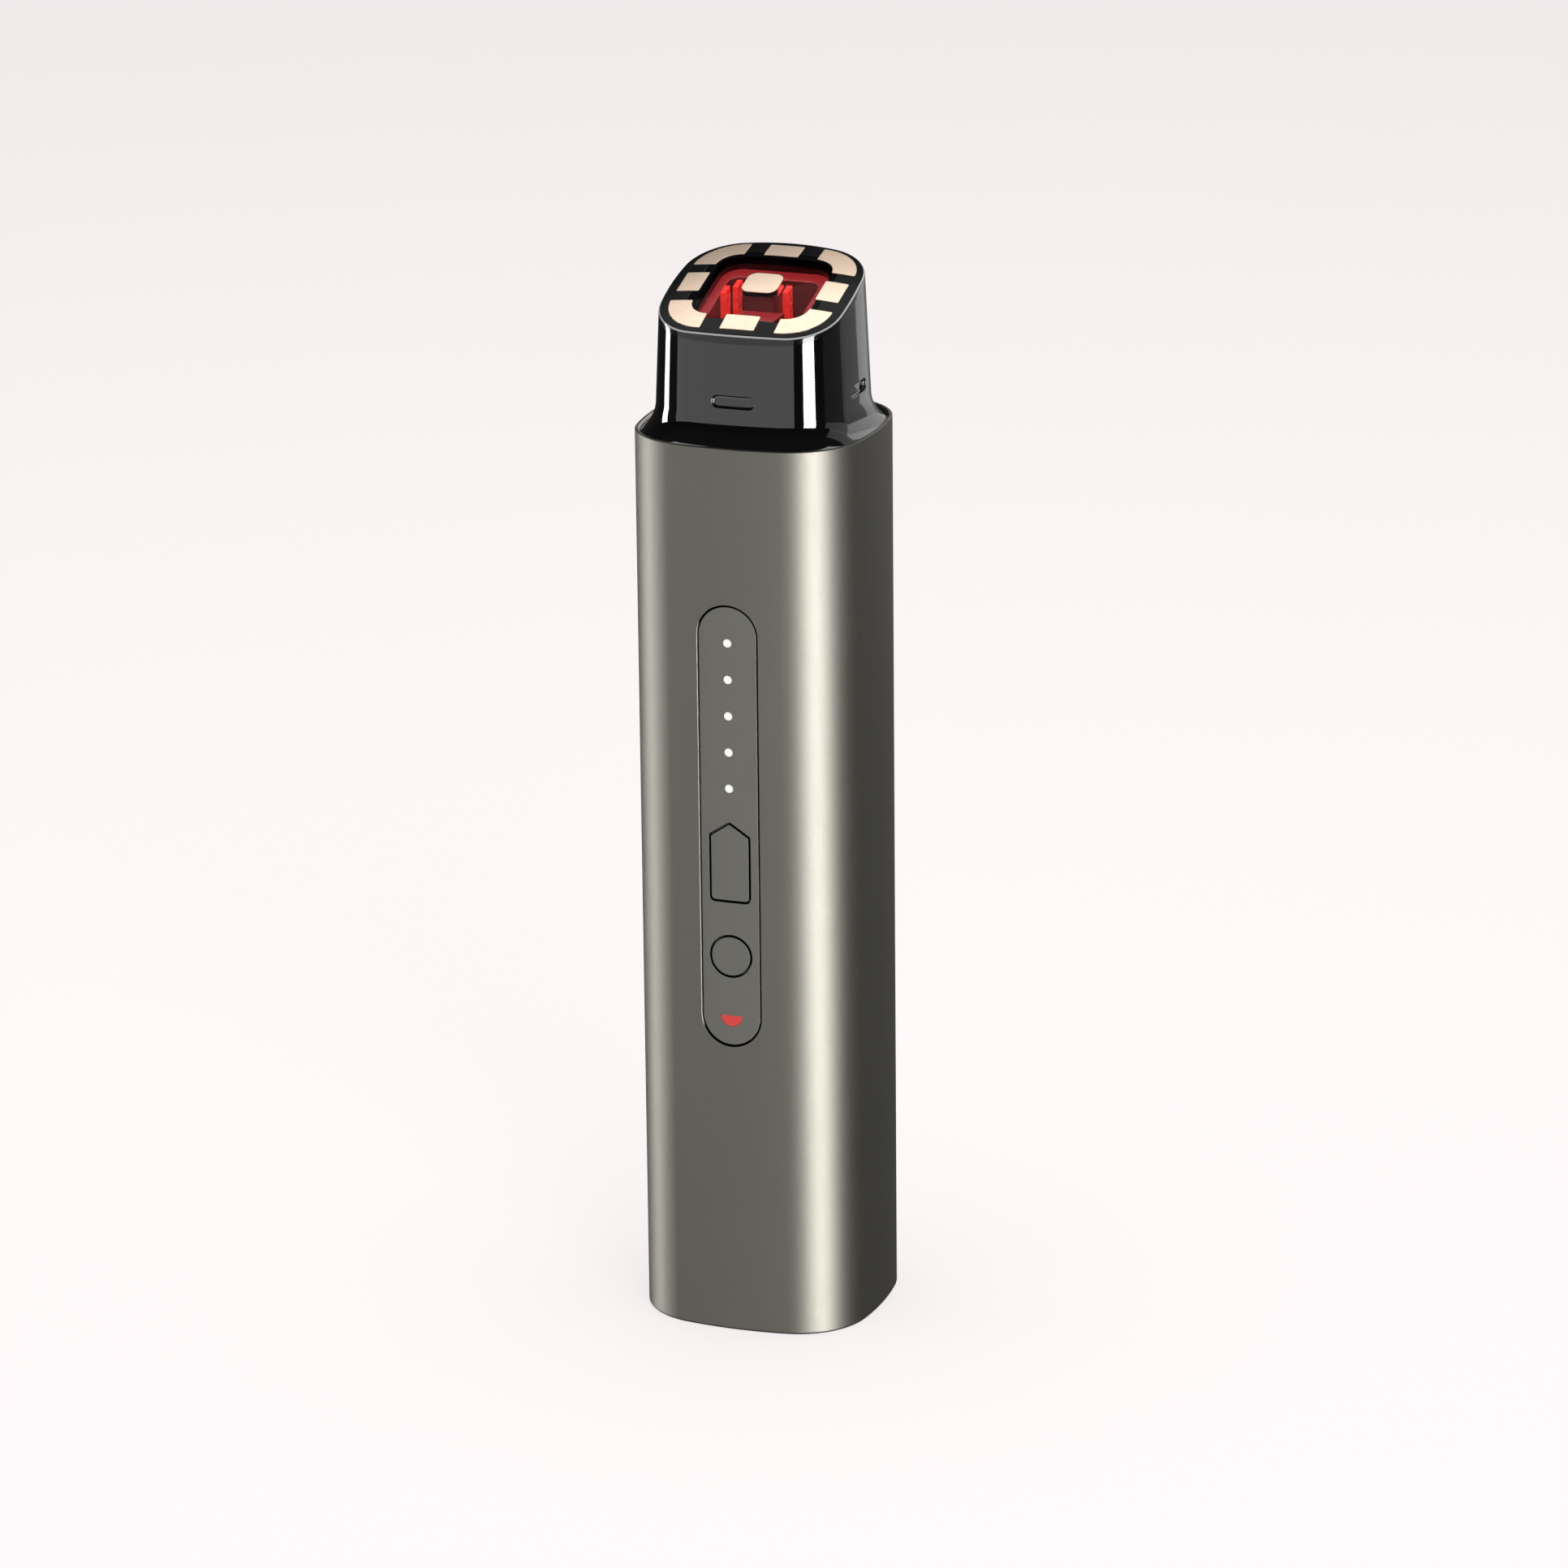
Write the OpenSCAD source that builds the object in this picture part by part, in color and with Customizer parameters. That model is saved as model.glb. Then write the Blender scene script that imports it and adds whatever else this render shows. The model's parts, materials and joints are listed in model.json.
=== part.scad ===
// Facial toning wand: an aluminium sleeve round two inner frames, a control panel
// with two push buttons, and a slanted head with nine skin electrodes over a red light well.
// The base rests on z = 0 with the sleeve's axis on Z. The control panel faces -Y.

/* [Sleeve] */
// Width of the sleeve across the front
body_w = 40; // [38:0.5:44]
// Depth of the sleeve, front to back
body_d = 38.7; // [37:0.1:43]
// Length of the sleeve
body_h = 154.4; // [148:0.2:170]
// Radius of the four bowed sides
side_arc = 60; // [50:1:90]
// Radius of the four corners
corner_r = 12.5; // [11:0.5:14]
// Thickness of the aluminium
sleeve_wall = 1.3; // [1:0.1:1.6]
// Thickness of the sleeve's rim round the head's collar
rim_wall = 0.9; // [0.7:0.05:1.1]

/* [Head] */
// Width of the head at the face
face_w = 31.9; // [30:0.1:33]
// Depth of the head at the face, seen from above
face_d = 28.5; // [27:0.1:29.5]
// Radius of the four corners of the head at the face
face_corner_r = 9; // [8:0.25:10]
// Height of the face on the axis above the end of the sleeve
face_rise = 22.4; // [21:0.2:28]
// Slope of the face, high at the back
face_tilt = 17.5; // [12:0.5:20]
// Draft of the head's walls, in degrees
head_draft = 2.6; // [1.5:0.1:3]
// Height of the flared foot of the head
flare_h = 4.8; // [3.4:0.2:5]
// Thickness of the head's walls
head_wall = 2.6; // [2.2:0.1:2.8]
// Radius of the domed face
dome_r = 125; // [110:5:250]
// Depth of the spacer notches for the travel cap
notch_depth = 0.6; // [0.3:0.1:1]
// Length of the notches for the travel cap
notch_l = 7.4; // [5:0.2:9]
// Height of the notches for the travel cap
notch_h = 2; // [1.5:0.1:2.5]

/* [Electrodes] */
// Width of the ring of electrodes, outside
ring_w = 28.2; // [27.4:0.1:28.4]
// Length of the ring of electrodes along the slope, outside
ring_l = 27; // [26:0.1:27.4]
// Width of the band that the electrodes fill
band = 4; // [3.5:0.1:4.3]
// Outer radius of the four corner electrodes
ring_corner_r = 7.75; // [7:0.25:8]
// Length of the four straight electrodes
pad_l = 6; // [4.5:0.1:7]
// Thickness of the electrodes
pad_t = 0.9; // [0.6:0.1:1]
// Side of the square centre electrode
centre_w = 6.2; // [5:0.1:7]
// Corner radius of the centre electrode
centre_r = 1.6; // [1:0.1:2]

/* [Light well] */
// Depth of the light board below the middle of the face
light_board_drop = 9.2; // [8.6:0.1:9.6]
// Thickness of the light board
light_board_t = 1.2; // [1:0.1:1.4]
// Wall of the reflector cup
cup_wall = 2.6; // [1.2:0.1:3]
// Thickness of the red window
window_t = 1.6; // [1.2:0.1:2]

/* [Control panel] */
// Width of the panel's opening in the sleeve
panel_w = 10.5; // [10:0.1:12]
// Length of the panel's opening in the sleeve
panel_l = 76.7; // [75:0.1:80]
// Distance of the panel's centre below the upper end of the sleeve
panel_drop = 64.95; // [62.4:0.05:68.4]
// Gap between the panel and the sleeve
panel_gap = 0.15; // [0.1:0.05:0.25]
// How far the panel lies below the sleeve's surface
panel_sink = 0.2; // [0.1:0.05:0.4]
// Thickness of the panel's front
panel_skin = 1.2; // [1:0.1:1.4]
// Gap round each button
button_gap = 0.25; // [0.15:0.05:0.3]
// Travel of the buttons
button_travel = 0.5; // [0.3:0.05:0.6]
// Width of the opening for the level button
level_w = 7.2; // [6.4:0.1:7.6]
// Length of the level button's straight sides
level_l = 11.6; // [10:0.1:12]
// Radius of the level button's lower corners
level_low_r = 0.95; // [0.6:0.05:1.2]
// Height of the level button's pointed top
level_point = 2.4; // [1.5:0.1:3]
// Distance of the level button's lower edge below the panel's centre
level_drop = 13; // [12:0.1:14]
// Diameter of the opening for the power button
power_d = 7.4; // [6.6:0.1:7.6]
// Distance of the power button below the panel's centre
power_drop = 22.5; // [22:0.1:23.5]
// Number of level lights
light_count = 5; // [3:1:5]
// Spacing of the level lights
light_pitch = 6.27; // [5:0.01:6.4]
// Diameter of a level light
light_d = 1.45; // [1:0.05:1.8]
// Distance of the lowest level light above the panel's centre
light_first = 6.8; // [6:0.1:7]
// Radius of the half-moon status light
moon_r = 1.9; // [1.5:0.1:2.2]
// Distance of the half moon's flat edge below the panel's centre
moon_drop = 32.95; // [31:0.05:33.2]

/* [Inside] */
// Diameter of the battery cell
battery_d = 18.5; // [16:0.1:18.6]
// Length of the battery cell
battery_l = 65; // [50:0.5:66]
// Wall of the inner frames
frame_wall = 1.5; // [1.2:0.1:1.8]
// Width of the main circuit board
board_w = 22; // [18:0.5:23]
// Thickness of the main circuit board
board_t = 1.2; // [1:0.1:1.6]
// Thickness of the base cap
base_t = 2.4; // [2:0.1:3]

/* [Hidden] */
$fn = 64;
eps = 0.01;
side_fn = 240;
corner_fn = 72;

// Fits
slide_gap = 0.1;      // between the sleeve and what slides into its ends
frame_gap = 0.3;      // between the sleeve and the inner frames
inlay_gap = 0.05;     // round a piece set into another
screw_gap = 0.05;     // round a screw's shank

// Depths behind the front of the sleeve
seat_depth = 4.35;                       // where the panel's back edge rests
plate_t = 1.4;                           // the front frame's mounting plate
board_front = seat_depth + plate_t;
board_back = board_front + board_t;
pocket_depth = panel_sink + panel_skin;  // back of the panel's front
panel_wall = 0.7;
collar_wall = 1.2;
flange_t = 0.9;
flange_lap = 0.45;
flange_gap = 0.08;

// Switches
switch_side = 5.2;
switch_h = 1.5;
stem_r = 1;
stem_out = 0.7;
stem_in = switch_h - button_travel - 0.35;

// Heights
frame_bottom = 10;
base_skirt = frame_bottom - 0.3;
frame_top = body_h - 8.4;
flange_h = 1.5;
flange_reach = 8;       // how far the flanges at the frames' ends reach in
rib_t = 1.5;
web_t = 1.5;
web_side = 6;
battery_floor = 22;
face_z = body_h + face_rise;
light_board_z = face_z - light_board_drop;
light_top_z = light_board_z + light_board_t;
plate_top = frame_top + 1.8;
board_bottom = 30;
board_top = frame_top - 8;
plate_bottom = 36;
panel_z = body_h - panel_drop;

// Inside of the sleeve
inner_a = body_w / 2 - sleeve_wall;
inner_b = body_d / 2 - sleeve_wall;
flange_a = inner_a - frame_gap - flange_reach;  // half width of the opening in the flanges
flange_b = inner_b - frame_gap - flange_reach;  // half depth of that opening
split_y = -2;
battery_gap = 0.1;
battery_back_gap = 0.6;
battery_y = inner_b - frame_gap - frame_wall - battery_back_gap - battery_d / 2;

// Face
rim_w = -1.4;          // seam between the face plate and the head shell, along the face's normal
edge_w = -0.3;         // where the rounding of the face plate's edge begins
dome_rise = 0.9;       // top of the dome above the face's datum
edge_r = 0.9;          // rounding of the face plate's edge
spigot_t = 1;
seal_t = 0.3;
edge_steps = 6;
lip = 1.1;             // wall of the head shell round the face plate's spigot
spigot_w = rim_w - spigot_t;

// Screws
screw_r = 0.95;
screw_head_r = 1.7;
screw_head_h = 1.2;
small_screw_r = 0.6;
small_head_r = 1.2;
small_head_h = 0.8;
boss_r = 2.2;
post_r = 1.4;
small_boss_r = 1.5;
flex_t = 0.3;
flex_gap = 0.55;       // between a flat cable and the frame beside it
frame_screw_x = inner_a - 5.2;
head_screw_at = [inner_a - 6.3, inner_b - 9.05];
base_screw_y = inner_b - 5.5;
charge_board_a = flange_a - 0.4;
charge_screw_x = charge_board_a - 1.7;
board_screw_x = board_w / 2 - 2;
board_screw_z = [board_bottom + 10, board_top - 4];

// ---------- Outlines ----------

// A square with four bowed sides of radius sr, blended by corners of radius cr
module squircle(w, d, sr, cr) {
    offset(r = cr, $fn = corner_fn) intersection() {
        translate([0, sr - d / 2]) circle(sr - cr, $fn = side_fn);
        translate([0, d / 2 - sr]) circle(sr - cr, $fn = side_fn);
        translate([w / 2 - sr, 0]) circle(sr - cr, $fn = side_fn);
        translate([sr - w / 2, 0]) circle(sr - cr, $fn = side_fn);
    }
}

// Segment of a circle beyond the chord from p to q
module arc_cap(r, c, p, q) {
    n = [(q - p)[1], -(q - p)[0]] / norm(q - p);
    intersection() {
        translate(c) circle(r);
        polygon([p, q, q + n * r, p + n * r]);
    }
}

// The sleeve's outline, moved inwards by inset
module sleeve_outline(inset = 0) {
    squircle(body_w - 2 * inset, body_d - 2 * inset, side_arc - inset, corner_r - inset);
}

// A column with the sleeve's outline, from z0 to z1
module sleeve_core(inset, z0, z1) {
    translate([0, 0, z0]) linear_extrude(z1 - z0) sleeve_outline(inset);
}

// An upright slot with round ends
module stadium(w, l) {
    s = l - w;
    square([w, s], center = true);
    for (m = [0, 1]) mirror([0, m]) translate([0, s / 2]) intersection() {
        circle(w / 2);
        translate([-w, 0]) square([2 * w, w]);
    }
}

// A rectangle with round corners
module round_rect(w, l, r) {
    c = [w / 2 - r, l / 2 - r];
    t = c + [0, r];
    u = c + [r, 0];
    polygon([t, u, [u[0], -u[1]], [t[0], -t[1]], -t, -u, [-u[0], u[1]], [-t[0], t[1]]]);
    for (mx = [0, 1], my = [0, 1]) mirror([mx, 0]) mirror([0, my]) arc_cap(r, c, t, u);
}

// Draws its 2-D children on the front, as seen from the front, from depth d0 to depth d1
module on_front(d0, d1, z = 0) {
    translate([0, d1 - body_d / 2, z]) rotate([90, 0, 0]) linear_extrude(d1 - d0) children();
}

// Puts its children in the face's own frame: X across, Y up the slope, Z out of the skin side
module on_face() {
    translate([0, 0, face_z]) rotate([face_tilt, 0, 0]) children();
}

// Everything under the domed face, lowered by drop
module under_dome(drop = 0) {
    on_face() translate([0, 0, dome_rise - dome_r]) rotate([90, 0, 0]) sphere(dome_r - drop, $fn = 240);
}

// Everything below the plane at w along the face's normal
module below_face(w) {
    on_face() translate([-40, -40, w - 120]) cube([80, 80, 120]);
}

// A screw with its head's top at the origin, pointing down
module screw(r, head_r, head_h, l) {
    difference() {
        union() {
            translate([0, 0, -head_h]) cylinder(r = head_r, h = head_h);
            translate([0, 0, -head_h - l]) cylinder(r = r, h = l + eps);
        }
        for (a = [0, 90]) rotate(a)
            translate([-head_r * 0.6, -head_r * 0.12, -head_h * 0.5])
                cube([head_r * 1.2, head_r * 0.24, head_h]);
    }
}

// ---------- Sleeve and base ----------

rim_h = 1.4;

module panel_hole(grow) {
    on_front(-2, 6, panel_z) stadium(panel_w + 2 * grow, panel_l + 2 * grow);
}

module outer_sleeve() {
    color("dimgray") difference() {
        sleeve_core(0, 0, body_h);
        sleeve_core(sleeve_wall, -1, body_h + 1);
        sleeve_core(rim_wall, body_h - rim_h, body_h + 1);
        panel_hole(0);
    }
}

port_w = 8.94;
port_h = 3.26;
port_gap = 0.25;

module base_cap() {
    color("dimgray") difference() {
        union() {
            sleeve_core(sleeve_wall + slide_gap, 0, base_t);
            difference() {
                sleeve_core(sleeve_wall + slide_gap, base_t - eps, base_skirt);
                sleeve_core(sleeve_wall + slide_gap + frame_wall, base_t - 2 * eps, base_skirt + 1);
            }
            for (s = [-1, 1]) {
                translate([s * charge_screw_x, 0, base_t - eps])
                    cylinder(r = small_boss_r, h = charge_board_z - base_t + eps);
                translate([0, s * base_screw_y, base_t - eps])
                    cylinder(r = boss_r, h = frame_bottom - base_t + eps);
            }
        }
        translate([0, 0, -1]) linear_extrude(base_t + 2) rotate(90)
            stadium(port_h + 2 * port_gap, port_w + 2 * port_gap);
        for (s = [-1, 1]) {
            translate([0, s * base_screw_y, -1]) cylinder(r = screw_head_r + 0.2, h = 1.6 + screw_head_h);
            translate([0, s * base_screw_y, -1]) cylinder(r = screw_r + screw_gap, h = frame_bottom + 2);
            translate([s * charge_screw_x, 0, base_t])
                cylinder(r = small_screw_r + screw_gap, h = charge_board_z);
        }
    }
}

module base_screws() {
    color("silver") for (s = [-1, 1]) translate([0, s * base_screw_y, 0.6]) rotate([180, 0, 0])
        screw(screw_r, screw_head_r, screw_head_h, frame_bottom + 5 - 0.6 - screw_head_h);
}

// ---------- Inner frames ----------

// The wall of both inner frames, with an inward flange at each end
module frame_tube() {
    difference() {
        sleeve_core(sleeve_wall + frame_gap, frame_bottom, frame_top);
        sleeve_core(sleeve_wall + frame_gap + frame_wall, frame_bottom + flange_h, frame_top - flange_h);
        sleeve_core(sleeve_wall + frame_gap + flange_reach, frame_bottom - 1, frame_top + 1);
    }
}

// Keeps the front (s = -1) or the rear (s = 1) of the split between the frames
module half_space(s) {
    translate([-40, s < 0 ? split_y - 40 : split_y + inlay_gap, 0]) cube([80, 40, body_h + 40]);
}

// Bores that both frames share: base, head and frame screws
module frame_bores() {
    for (s = [-1, 1]) {
        translate([0, s * base_screw_y, frame_bottom - 1]) cylinder(r = screw_r + screw_gap, h = 10);
        for (t = [-1, 1]) translate([s * head_screw_at[0], t * head_screw_at[1], frame_top - 4])
            cylinder(r = screw_r + screw_gap, h = 6);
        for (z = frame_screw_zs) translate([s * frame_screw_x, 8, z]) rotate([90, 0, 0])
            cylinder(r = screw_r + screw_gap, h = 16);
    }
}

frame_screw_zs = [battery_floor - 4, battery_floor + battery_l + 8];
frame_boss_l = 5;

module frame_bosses(s) {
    for (x = [-1, 1], z = frame_screw_zs)
        translate([x * frame_screw_x, split_y + (s < 0 ? -frame_boss_l : 0), z]) rotate([-90, 0, 0])
            cylinder(r = boss_r, h = frame_boss_l);
    for (z = frame_screw_zs, x = [-1, 1])
        translate([x > 0 ? frame_screw_x : -inner_a - 1,
                split_y + (s < 0 ? -frame_boss_l : 0), z - rib_t / 2])
            cube([inner_a + 1 - frame_screw_x, frame_boss_l, rib_t]);
    translate([0, s * base_screw_y, frame_bottom + flange_h - eps]) cylinder(r = boss_r, h = 5);
}

module front_frame() {
    color("darkslategray") difference() {
        intersection() {
            union() {
                frame_tube();
                // mounting plate for the main board
                translate([-inner_a, seat_depth - body_d / 2, plate_bottom])
                    cube([2 * inner_a, plate_t, board_top - plate_bottom]);
                // collar round the panel's tray
                on_front(sleeve_wall, seat_depth + eps, panel_z)
                    stadium(panel_w + 2 * (frame_gap + collar_wall), panel_l + 2 * (frame_gap + collar_wall));
                cradle_web();
                for (x = [-1, 1], z = board_screw_z) translate([x * board_screw_x, -body_d / 2 + 2.2, z])
                    rotate([-90, 0, 0]) cylinder(r = 1.8, h = seat_depth - 2.2 + eps);
                frame_bosses(-1);
            }
            sleeve_core(sleeve_wall + frame_gap, 0, body_h);
            half_space(-1);
        }
        panel_pocket();
        for (z = switch_zs) on_front(seat_depth - 1, board_front + 1, z)
            square(switch_side + 2 * frame_gap, center = true);
        for (i = [0:light_count - 1]) on_front(seat_depth - 1, board_front + 1, light_z(i))
            circle(light_d / 2 + 2 * frame_gap);
        on_front(seat_depth - 1, board_front + 1, moon_z - 0.6) circle(moon_r + 1.2);
        for (x = [-1, 1], z = board_screw_z) translate([x * board_screw_x, -body_d / 2 + 2.8, z])
            rotate([-90, 0, 0]) cylinder(r = small_screw_r + screw_gap, h = 5);
        translate([0, battery_y, battery_floor]) cylinder(r = battery_d / 2 + battery_gap, h = battery_l);
        frame_bores();
    }
}

// Ladder of a plate and cross bars that backs the cell
module cradle_web() {
    back = battery_y - battery_d / 2 - battery_gap;
    bars = 4;
    bar_h = 5;
    pitch = (battery_l - bar_h) / (bars - 1);
    for (i = [0:bars - 1]) translate([-inner_a, back - web_t, battery_floor + i * pitch])
        cube([2 * inner_a, web_t, bar_h]);
    for (s = [-1, 1]) translate([s * (inner_a - web_side / 2) - web_side / 2, back - web_t, battery_floor])
        cube([web_side, split_y - back + web_t, battery_l]);
}

// Room for the panel's tray through the front frame
module panel_pocket() {
    on_front(0, seat_depth, panel_z) stadium(panel_w + 2 * frame_gap, panel_l + 2 * frame_gap);
}

module rear_frame() {
    rib_zs = [battery_floor - rib_t, battery_floor + battery_l / 3, battery_floor + battery_l * 2 / 3,
        battery_floor + battery_l + 0.5];
    color("darkslategray") difference() {
        intersection() {
            union() {
                frame_tube();
                for (z = rib_zs) sleeve_core(sleeve_wall + frame_gap + eps, z, z + rib_t);
                frame_bosses(1);
            }
            sleeve_core(sleeve_wall + frame_gap, 0, body_h);
            half_space(1);
        }
        translate([0, battery_y, battery_floor]) cylinder(r = battery_d / 2 + battery_gap, h = battery_l);
        translate([0, battery_y, 0]) cylinder(r = 4, h = battery_floor + battery_l + 6);
        frame_bores();
    }
}

module frame_screws() {
    color("silver") for (x = [-1, 1], z = frame_screw_zs)
        translate([x * frame_screw_x, split_y + frame_boss_l + screw_head_h, z]) rotate([-90, 0, 0])
            screw(screw_r, screw_head_r, screw_head_h, 2 * frame_boss_l - 1.5);
}

// ---------- Control panel ----------

function light_z(i) = panel_z + light_first + i * light_pitch;
level_z = panel_z - level_drop;
power_z = panel_z - power_drop;
moon_z = panel_z - moon_drop;
switch_zs = [level_z + level_l / 2, power_z];

level_tip_r = 0.35;

// Outline of the level button's opening, its lower edge at the origin
module level_outline(inset = 0) {
    slope = atan(level_point / (level_w / 2));
    low_r = level_low_r - inset;
    low_half = level_w / 2 - level_low_r;
    k = inset + level_tip_r;
    half = level_w / 2 - k;
    shoulder = level_l - k * tan(45 - slope / 2);
    offset(r = low_r) translate([-low_half, level_low_r]) square([2 * low_half, level_l / 2]);
    offset(r = level_tip_r) polygon([[-half, level_l / 3], [half, level_l / 3], [half, shoulder],
        [0, level_l + level_point - k / cos(slope)], [-half, shoulder]]);
}

module half_moon(r) {
    intersection() {
        circle(r);
        translate([-2 * r, -2 * r]) square([4 * r, 2 * r]);
    }
}

// The panel's surface: the sleeve's outline, sunk a little
module panel_surface() {
    sleeve_core(panel_sink, 0, body_h);
}

module control_panel() {
    w = panel_w - 2 * panel_gap;
    l = panel_l - 2 * panel_gap;
    color("gray") difference() {
        intersection() {
            on_front(0, seat_depth, panel_z) stadium(w, l);
            panel_surface();
        }
        on_front(pocket_depth, seat_depth + 1, panel_z) stadium(w - 2 * panel_wall, l - 2 * panel_wall);
        on_front(-1, pocket_depth + 1, level_z) level_outline();
        on_front(-1, pocket_depth + 1, power_z) circle(power_d / 2);
        for (i = [0:light_count - 1]) on_front(-1, pocket_depth + 1, light_z(i))
            circle(light_d / 2 + inlay_gap);
        on_front(-1, pocket_depth + 1, moon_z) half_moon(moon_r + inlay_gap);
    }
}

module panel_gasket() {
    color("black") on_front(seat_depth - 0.4, seat_depth, panel_z) difference() {
        stadium(panel_w - 2 * (panel_gap + panel_wall + 0.1), panel_l - 2 * (panel_gap + panel_wall + 0.1));
        stadium(panel_w - 2 * (panel_gap + panel_wall + 0.7), panel_l - 2 * (panel_gap + panel_wall + 0.7));
    }
}

pipe_end = board_front - 1;

module level_light_pipe() {
    color("white") {
        intersection() {
            union() for (i = [0:light_count - 1]) on_front(0, pocket_depth + eps, light_z(i))
                circle(light_d / 2);
            panel_surface();
        }
        on_front(pocket_depth, pocket_depth + 1, (light_z(0) + light_z(light_count - 1)) / 2)
            stadium(light_d + 1.4, light_pitch * (light_count - 1) + light_d + 1.4);
        for (i = [0:light_count - 1]) on_front(pocket_depth + 1 - eps, pipe_end, light_z(i))
            circle(light_d / 2);
    }
}

module status_lens() {
    color("red") {
        intersection() {
            on_front(0, pocket_depth + eps, moon_z) half_moon(moon_r);
            panel_surface();
        }
        on_front(pocket_depth, pipe_end, moon_z + 0.3) half_moon(moon_r + 0.6);
    }
}

// A button: its cap, the flange behind the panel and the plunger on the switch.
// Its children are the cap's outline, the flange's outline and the plunger's outline.
module button(z, plunger_z) {
    intersection() {
        on_front(0, pocket_depth + flange_gap + eps, z) children(0);
        panel_surface();
    }
    on_front(pocket_depth + flange_gap, pocket_depth + flange_gap + flange_t, z) children(1);
    on_front(pocket_depth + flange_gap + flange_t - eps, board_front - switch_h - stem_out, plunger_z)
        circle(1.6);
}

module level_button() {
    color("gray") button(level_z, switch_zs[0]) {
        level_outline(button_gap);
        level_outline(-flange_lap);
    }
}

module power_button() {
    color("gray") button(power_z, switch_zs[1]) {
        circle(power_d / 2 - button_gap);
        circle(power_d / 2 + flange_lap);
    }
}

module switch_stem(z) {
    color("black") on_front(board_front - switch_h - stem_out, board_front - switch_h + stem_in, z)
        circle(stem_r);
}

module switch_housings() {
    color("silver") for (z = switch_zs) difference() {
        on_front(board_front - switch_h, board_front, z) square(switch_side, center = true);
        on_front(board_front - switch_h - 1, board_front - 0.25, z) circle(stem_r + 0.08);
    }
}

// ---------- Electronics ----------

module main_board() {
    color("darkgreen") difference() {
        on_front(board_front, board_back) translate([-board_w / 2, board_bottom])
            square([board_w, board_top - board_bottom]);
        for (x = [-1, 1], z = board_screw_z) on_front(board_front - 1, board_back + 1, z)
            translate([x * board_screw_x, 0]) circle(small_screw_r + screw_gap);
    }
}

module board_screws() {
    color("silver") for (x = [-1, 1], z = board_screw_z)
        translate([x * board_screw_x, board_back + small_head_h - body_d / 2, z]) rotate([-90, 0, 0])
            screw(small_screw_r, small_head_r, small_head_h, board_t + plate_t + 1);
}

led_h = 0.7;
led_size = [1.6, 0.8];

module indicator_leds() {
    color("white") {
        for (i = [0:light_count - 1]) on_front(board_front - led_h, board_front, light_z(i))
            square(led_size, center = true);
        on_front(board_front - led_h, board_front, moon_z - moon_r / 2) square(led_size, center = true);
    }
}

// Chips on the main board, each [across, height above the board's lower end, width, length, thickness]
chips = [[0, 32, 7, 7, 0.9], [-4.5, 50, 5, 4, 1.2], [4, 14, 3, 3, 0.9], [5, 50, 4, 3, 1]];

module board_chips() {
    color("black") for (c = chips)
        on_front(board_back, board_back + c[4], board_bottom + c[1]) translate([c[0], 0])
        square([c[2], c[3]], center = true);
}

lead_r = 0.6;
lead_pitch = 2.6;
lead_z = battery_floor + battery_l + 4.5;
choke_r = 4;
choke_t = 4;
choke_z = lead_z + lead_r + 4.4 + choke_r;

core_w = 13;
core_h = 13;
core_d = 8;
leg_a = 1.3;                             // half width of the core's middle leg
yoke = 1.5;
window_b = core_h / 2 - yoke;            // half height of the core's two windows
window_out = core_w / 2 - yoke - 0.5;    // outer edge of the windows
bobbin_t = 0.4;
transformer_d = core_d + 2;
transformer_z = choke_z + choke_r + 1 + core_h / 2;

// Draws on the back of the main board, from depth d0 to d1, centred on the transformer
module on_transformer(d0, d1) {
    on_front(board_back + d0, board_back + d1, transformer_z) children();
}

// Two ferrite E halves: a closed frame with a middle leg
module transformer_core() {
    color("dimgray") on_transformer(1, 1 + core_d) difference() {
        square([core_w, core_h], center = true);
        for (s = [-1, 1]) translate([s * (leg_a + window_out) / 2, 0])
            square([window_out - leg_a, 2 * window_b], center = true);
    }
}

// Tube round the middle leg with a flange at each end
module transformer_bobbin() {
    wide = 2 * (window_out - inlay_gap);
    high = 2 * (window_b - inlay_gap);
    color("black") difference() {
        on_transformer(0, transformer_d) difference() {
            square([wide, high], center = true);
            for (s = [-1, 1]) translate([s * (leg_a + inlay_gap + bobbin_t + wide / 2) / 2, 0])
                square([wide / 2 - leg_a - inlay_gap - bobbin_t, high - 2 * bobbin_t], center = true);
        }
        for (d = [-1, transformer_d - 1 + inlay_gap + bobbin_t])
            on_transformer(d, d + 2 - inlay_gap - bobbin_t)
            square([wide + 1, high - 2 * bobbin_t], center = true);
        on_transformer(1 - inlay_gap, 1 + core_d + inlay_gap)
            square([2 * (leg_a + inlay_gap), high + 1], center = true);
    }
}

// Copper round the bobbin's tube
module transformer_winding() {
    high = 2 * (window_b - bobbin_t - 2 * inlay_gap);
    hole = leg_a + bobbin_t + 2 * inlay_gap;
    color("goldenrod") difference() {
        on_transformer(0.2, transformer_d - 0.2)
            square([2 * (window_out - 4 * inlay_gap), high], center = true);
        on_transformer(1 - 2 * inlay_gap - bobbin_t, 1 + core_d + 2 * inlay_gap + bobbin_t)
            square([2 * hole, high + 1], center = true);
    }
}

capacitor_r = 2.5;
capacitor_l = 7;
capacitor_x = choke_r + 0.9 + capacitor_r;

module capacitors() {
    color("midnightblue") for (x = [-capacitor_x, capacitor_x]) difference() {
        on_front(board_back, board_back + capacitor_l, choke_z) translate([x, 0]) circle(capacitor_r);
        on_front(board_back + capacitor_l - 0.3, board_back + capacitor_l + 1, choke_z) translate([x, 0])
            circle(capacitor_r - 0.4);
    }
}

choke_hole_r = 1.2;
choke_wire = 0.7;

module choke_core() {
    color("dimgray")
    on_front(board_back + choke_wire, board_back + choke_t - choke_wire, choke_z) difference() {
        circle(choke_r - choke_wire);
        circle(choke_hole_r + choke_wire);
    }
}

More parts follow.
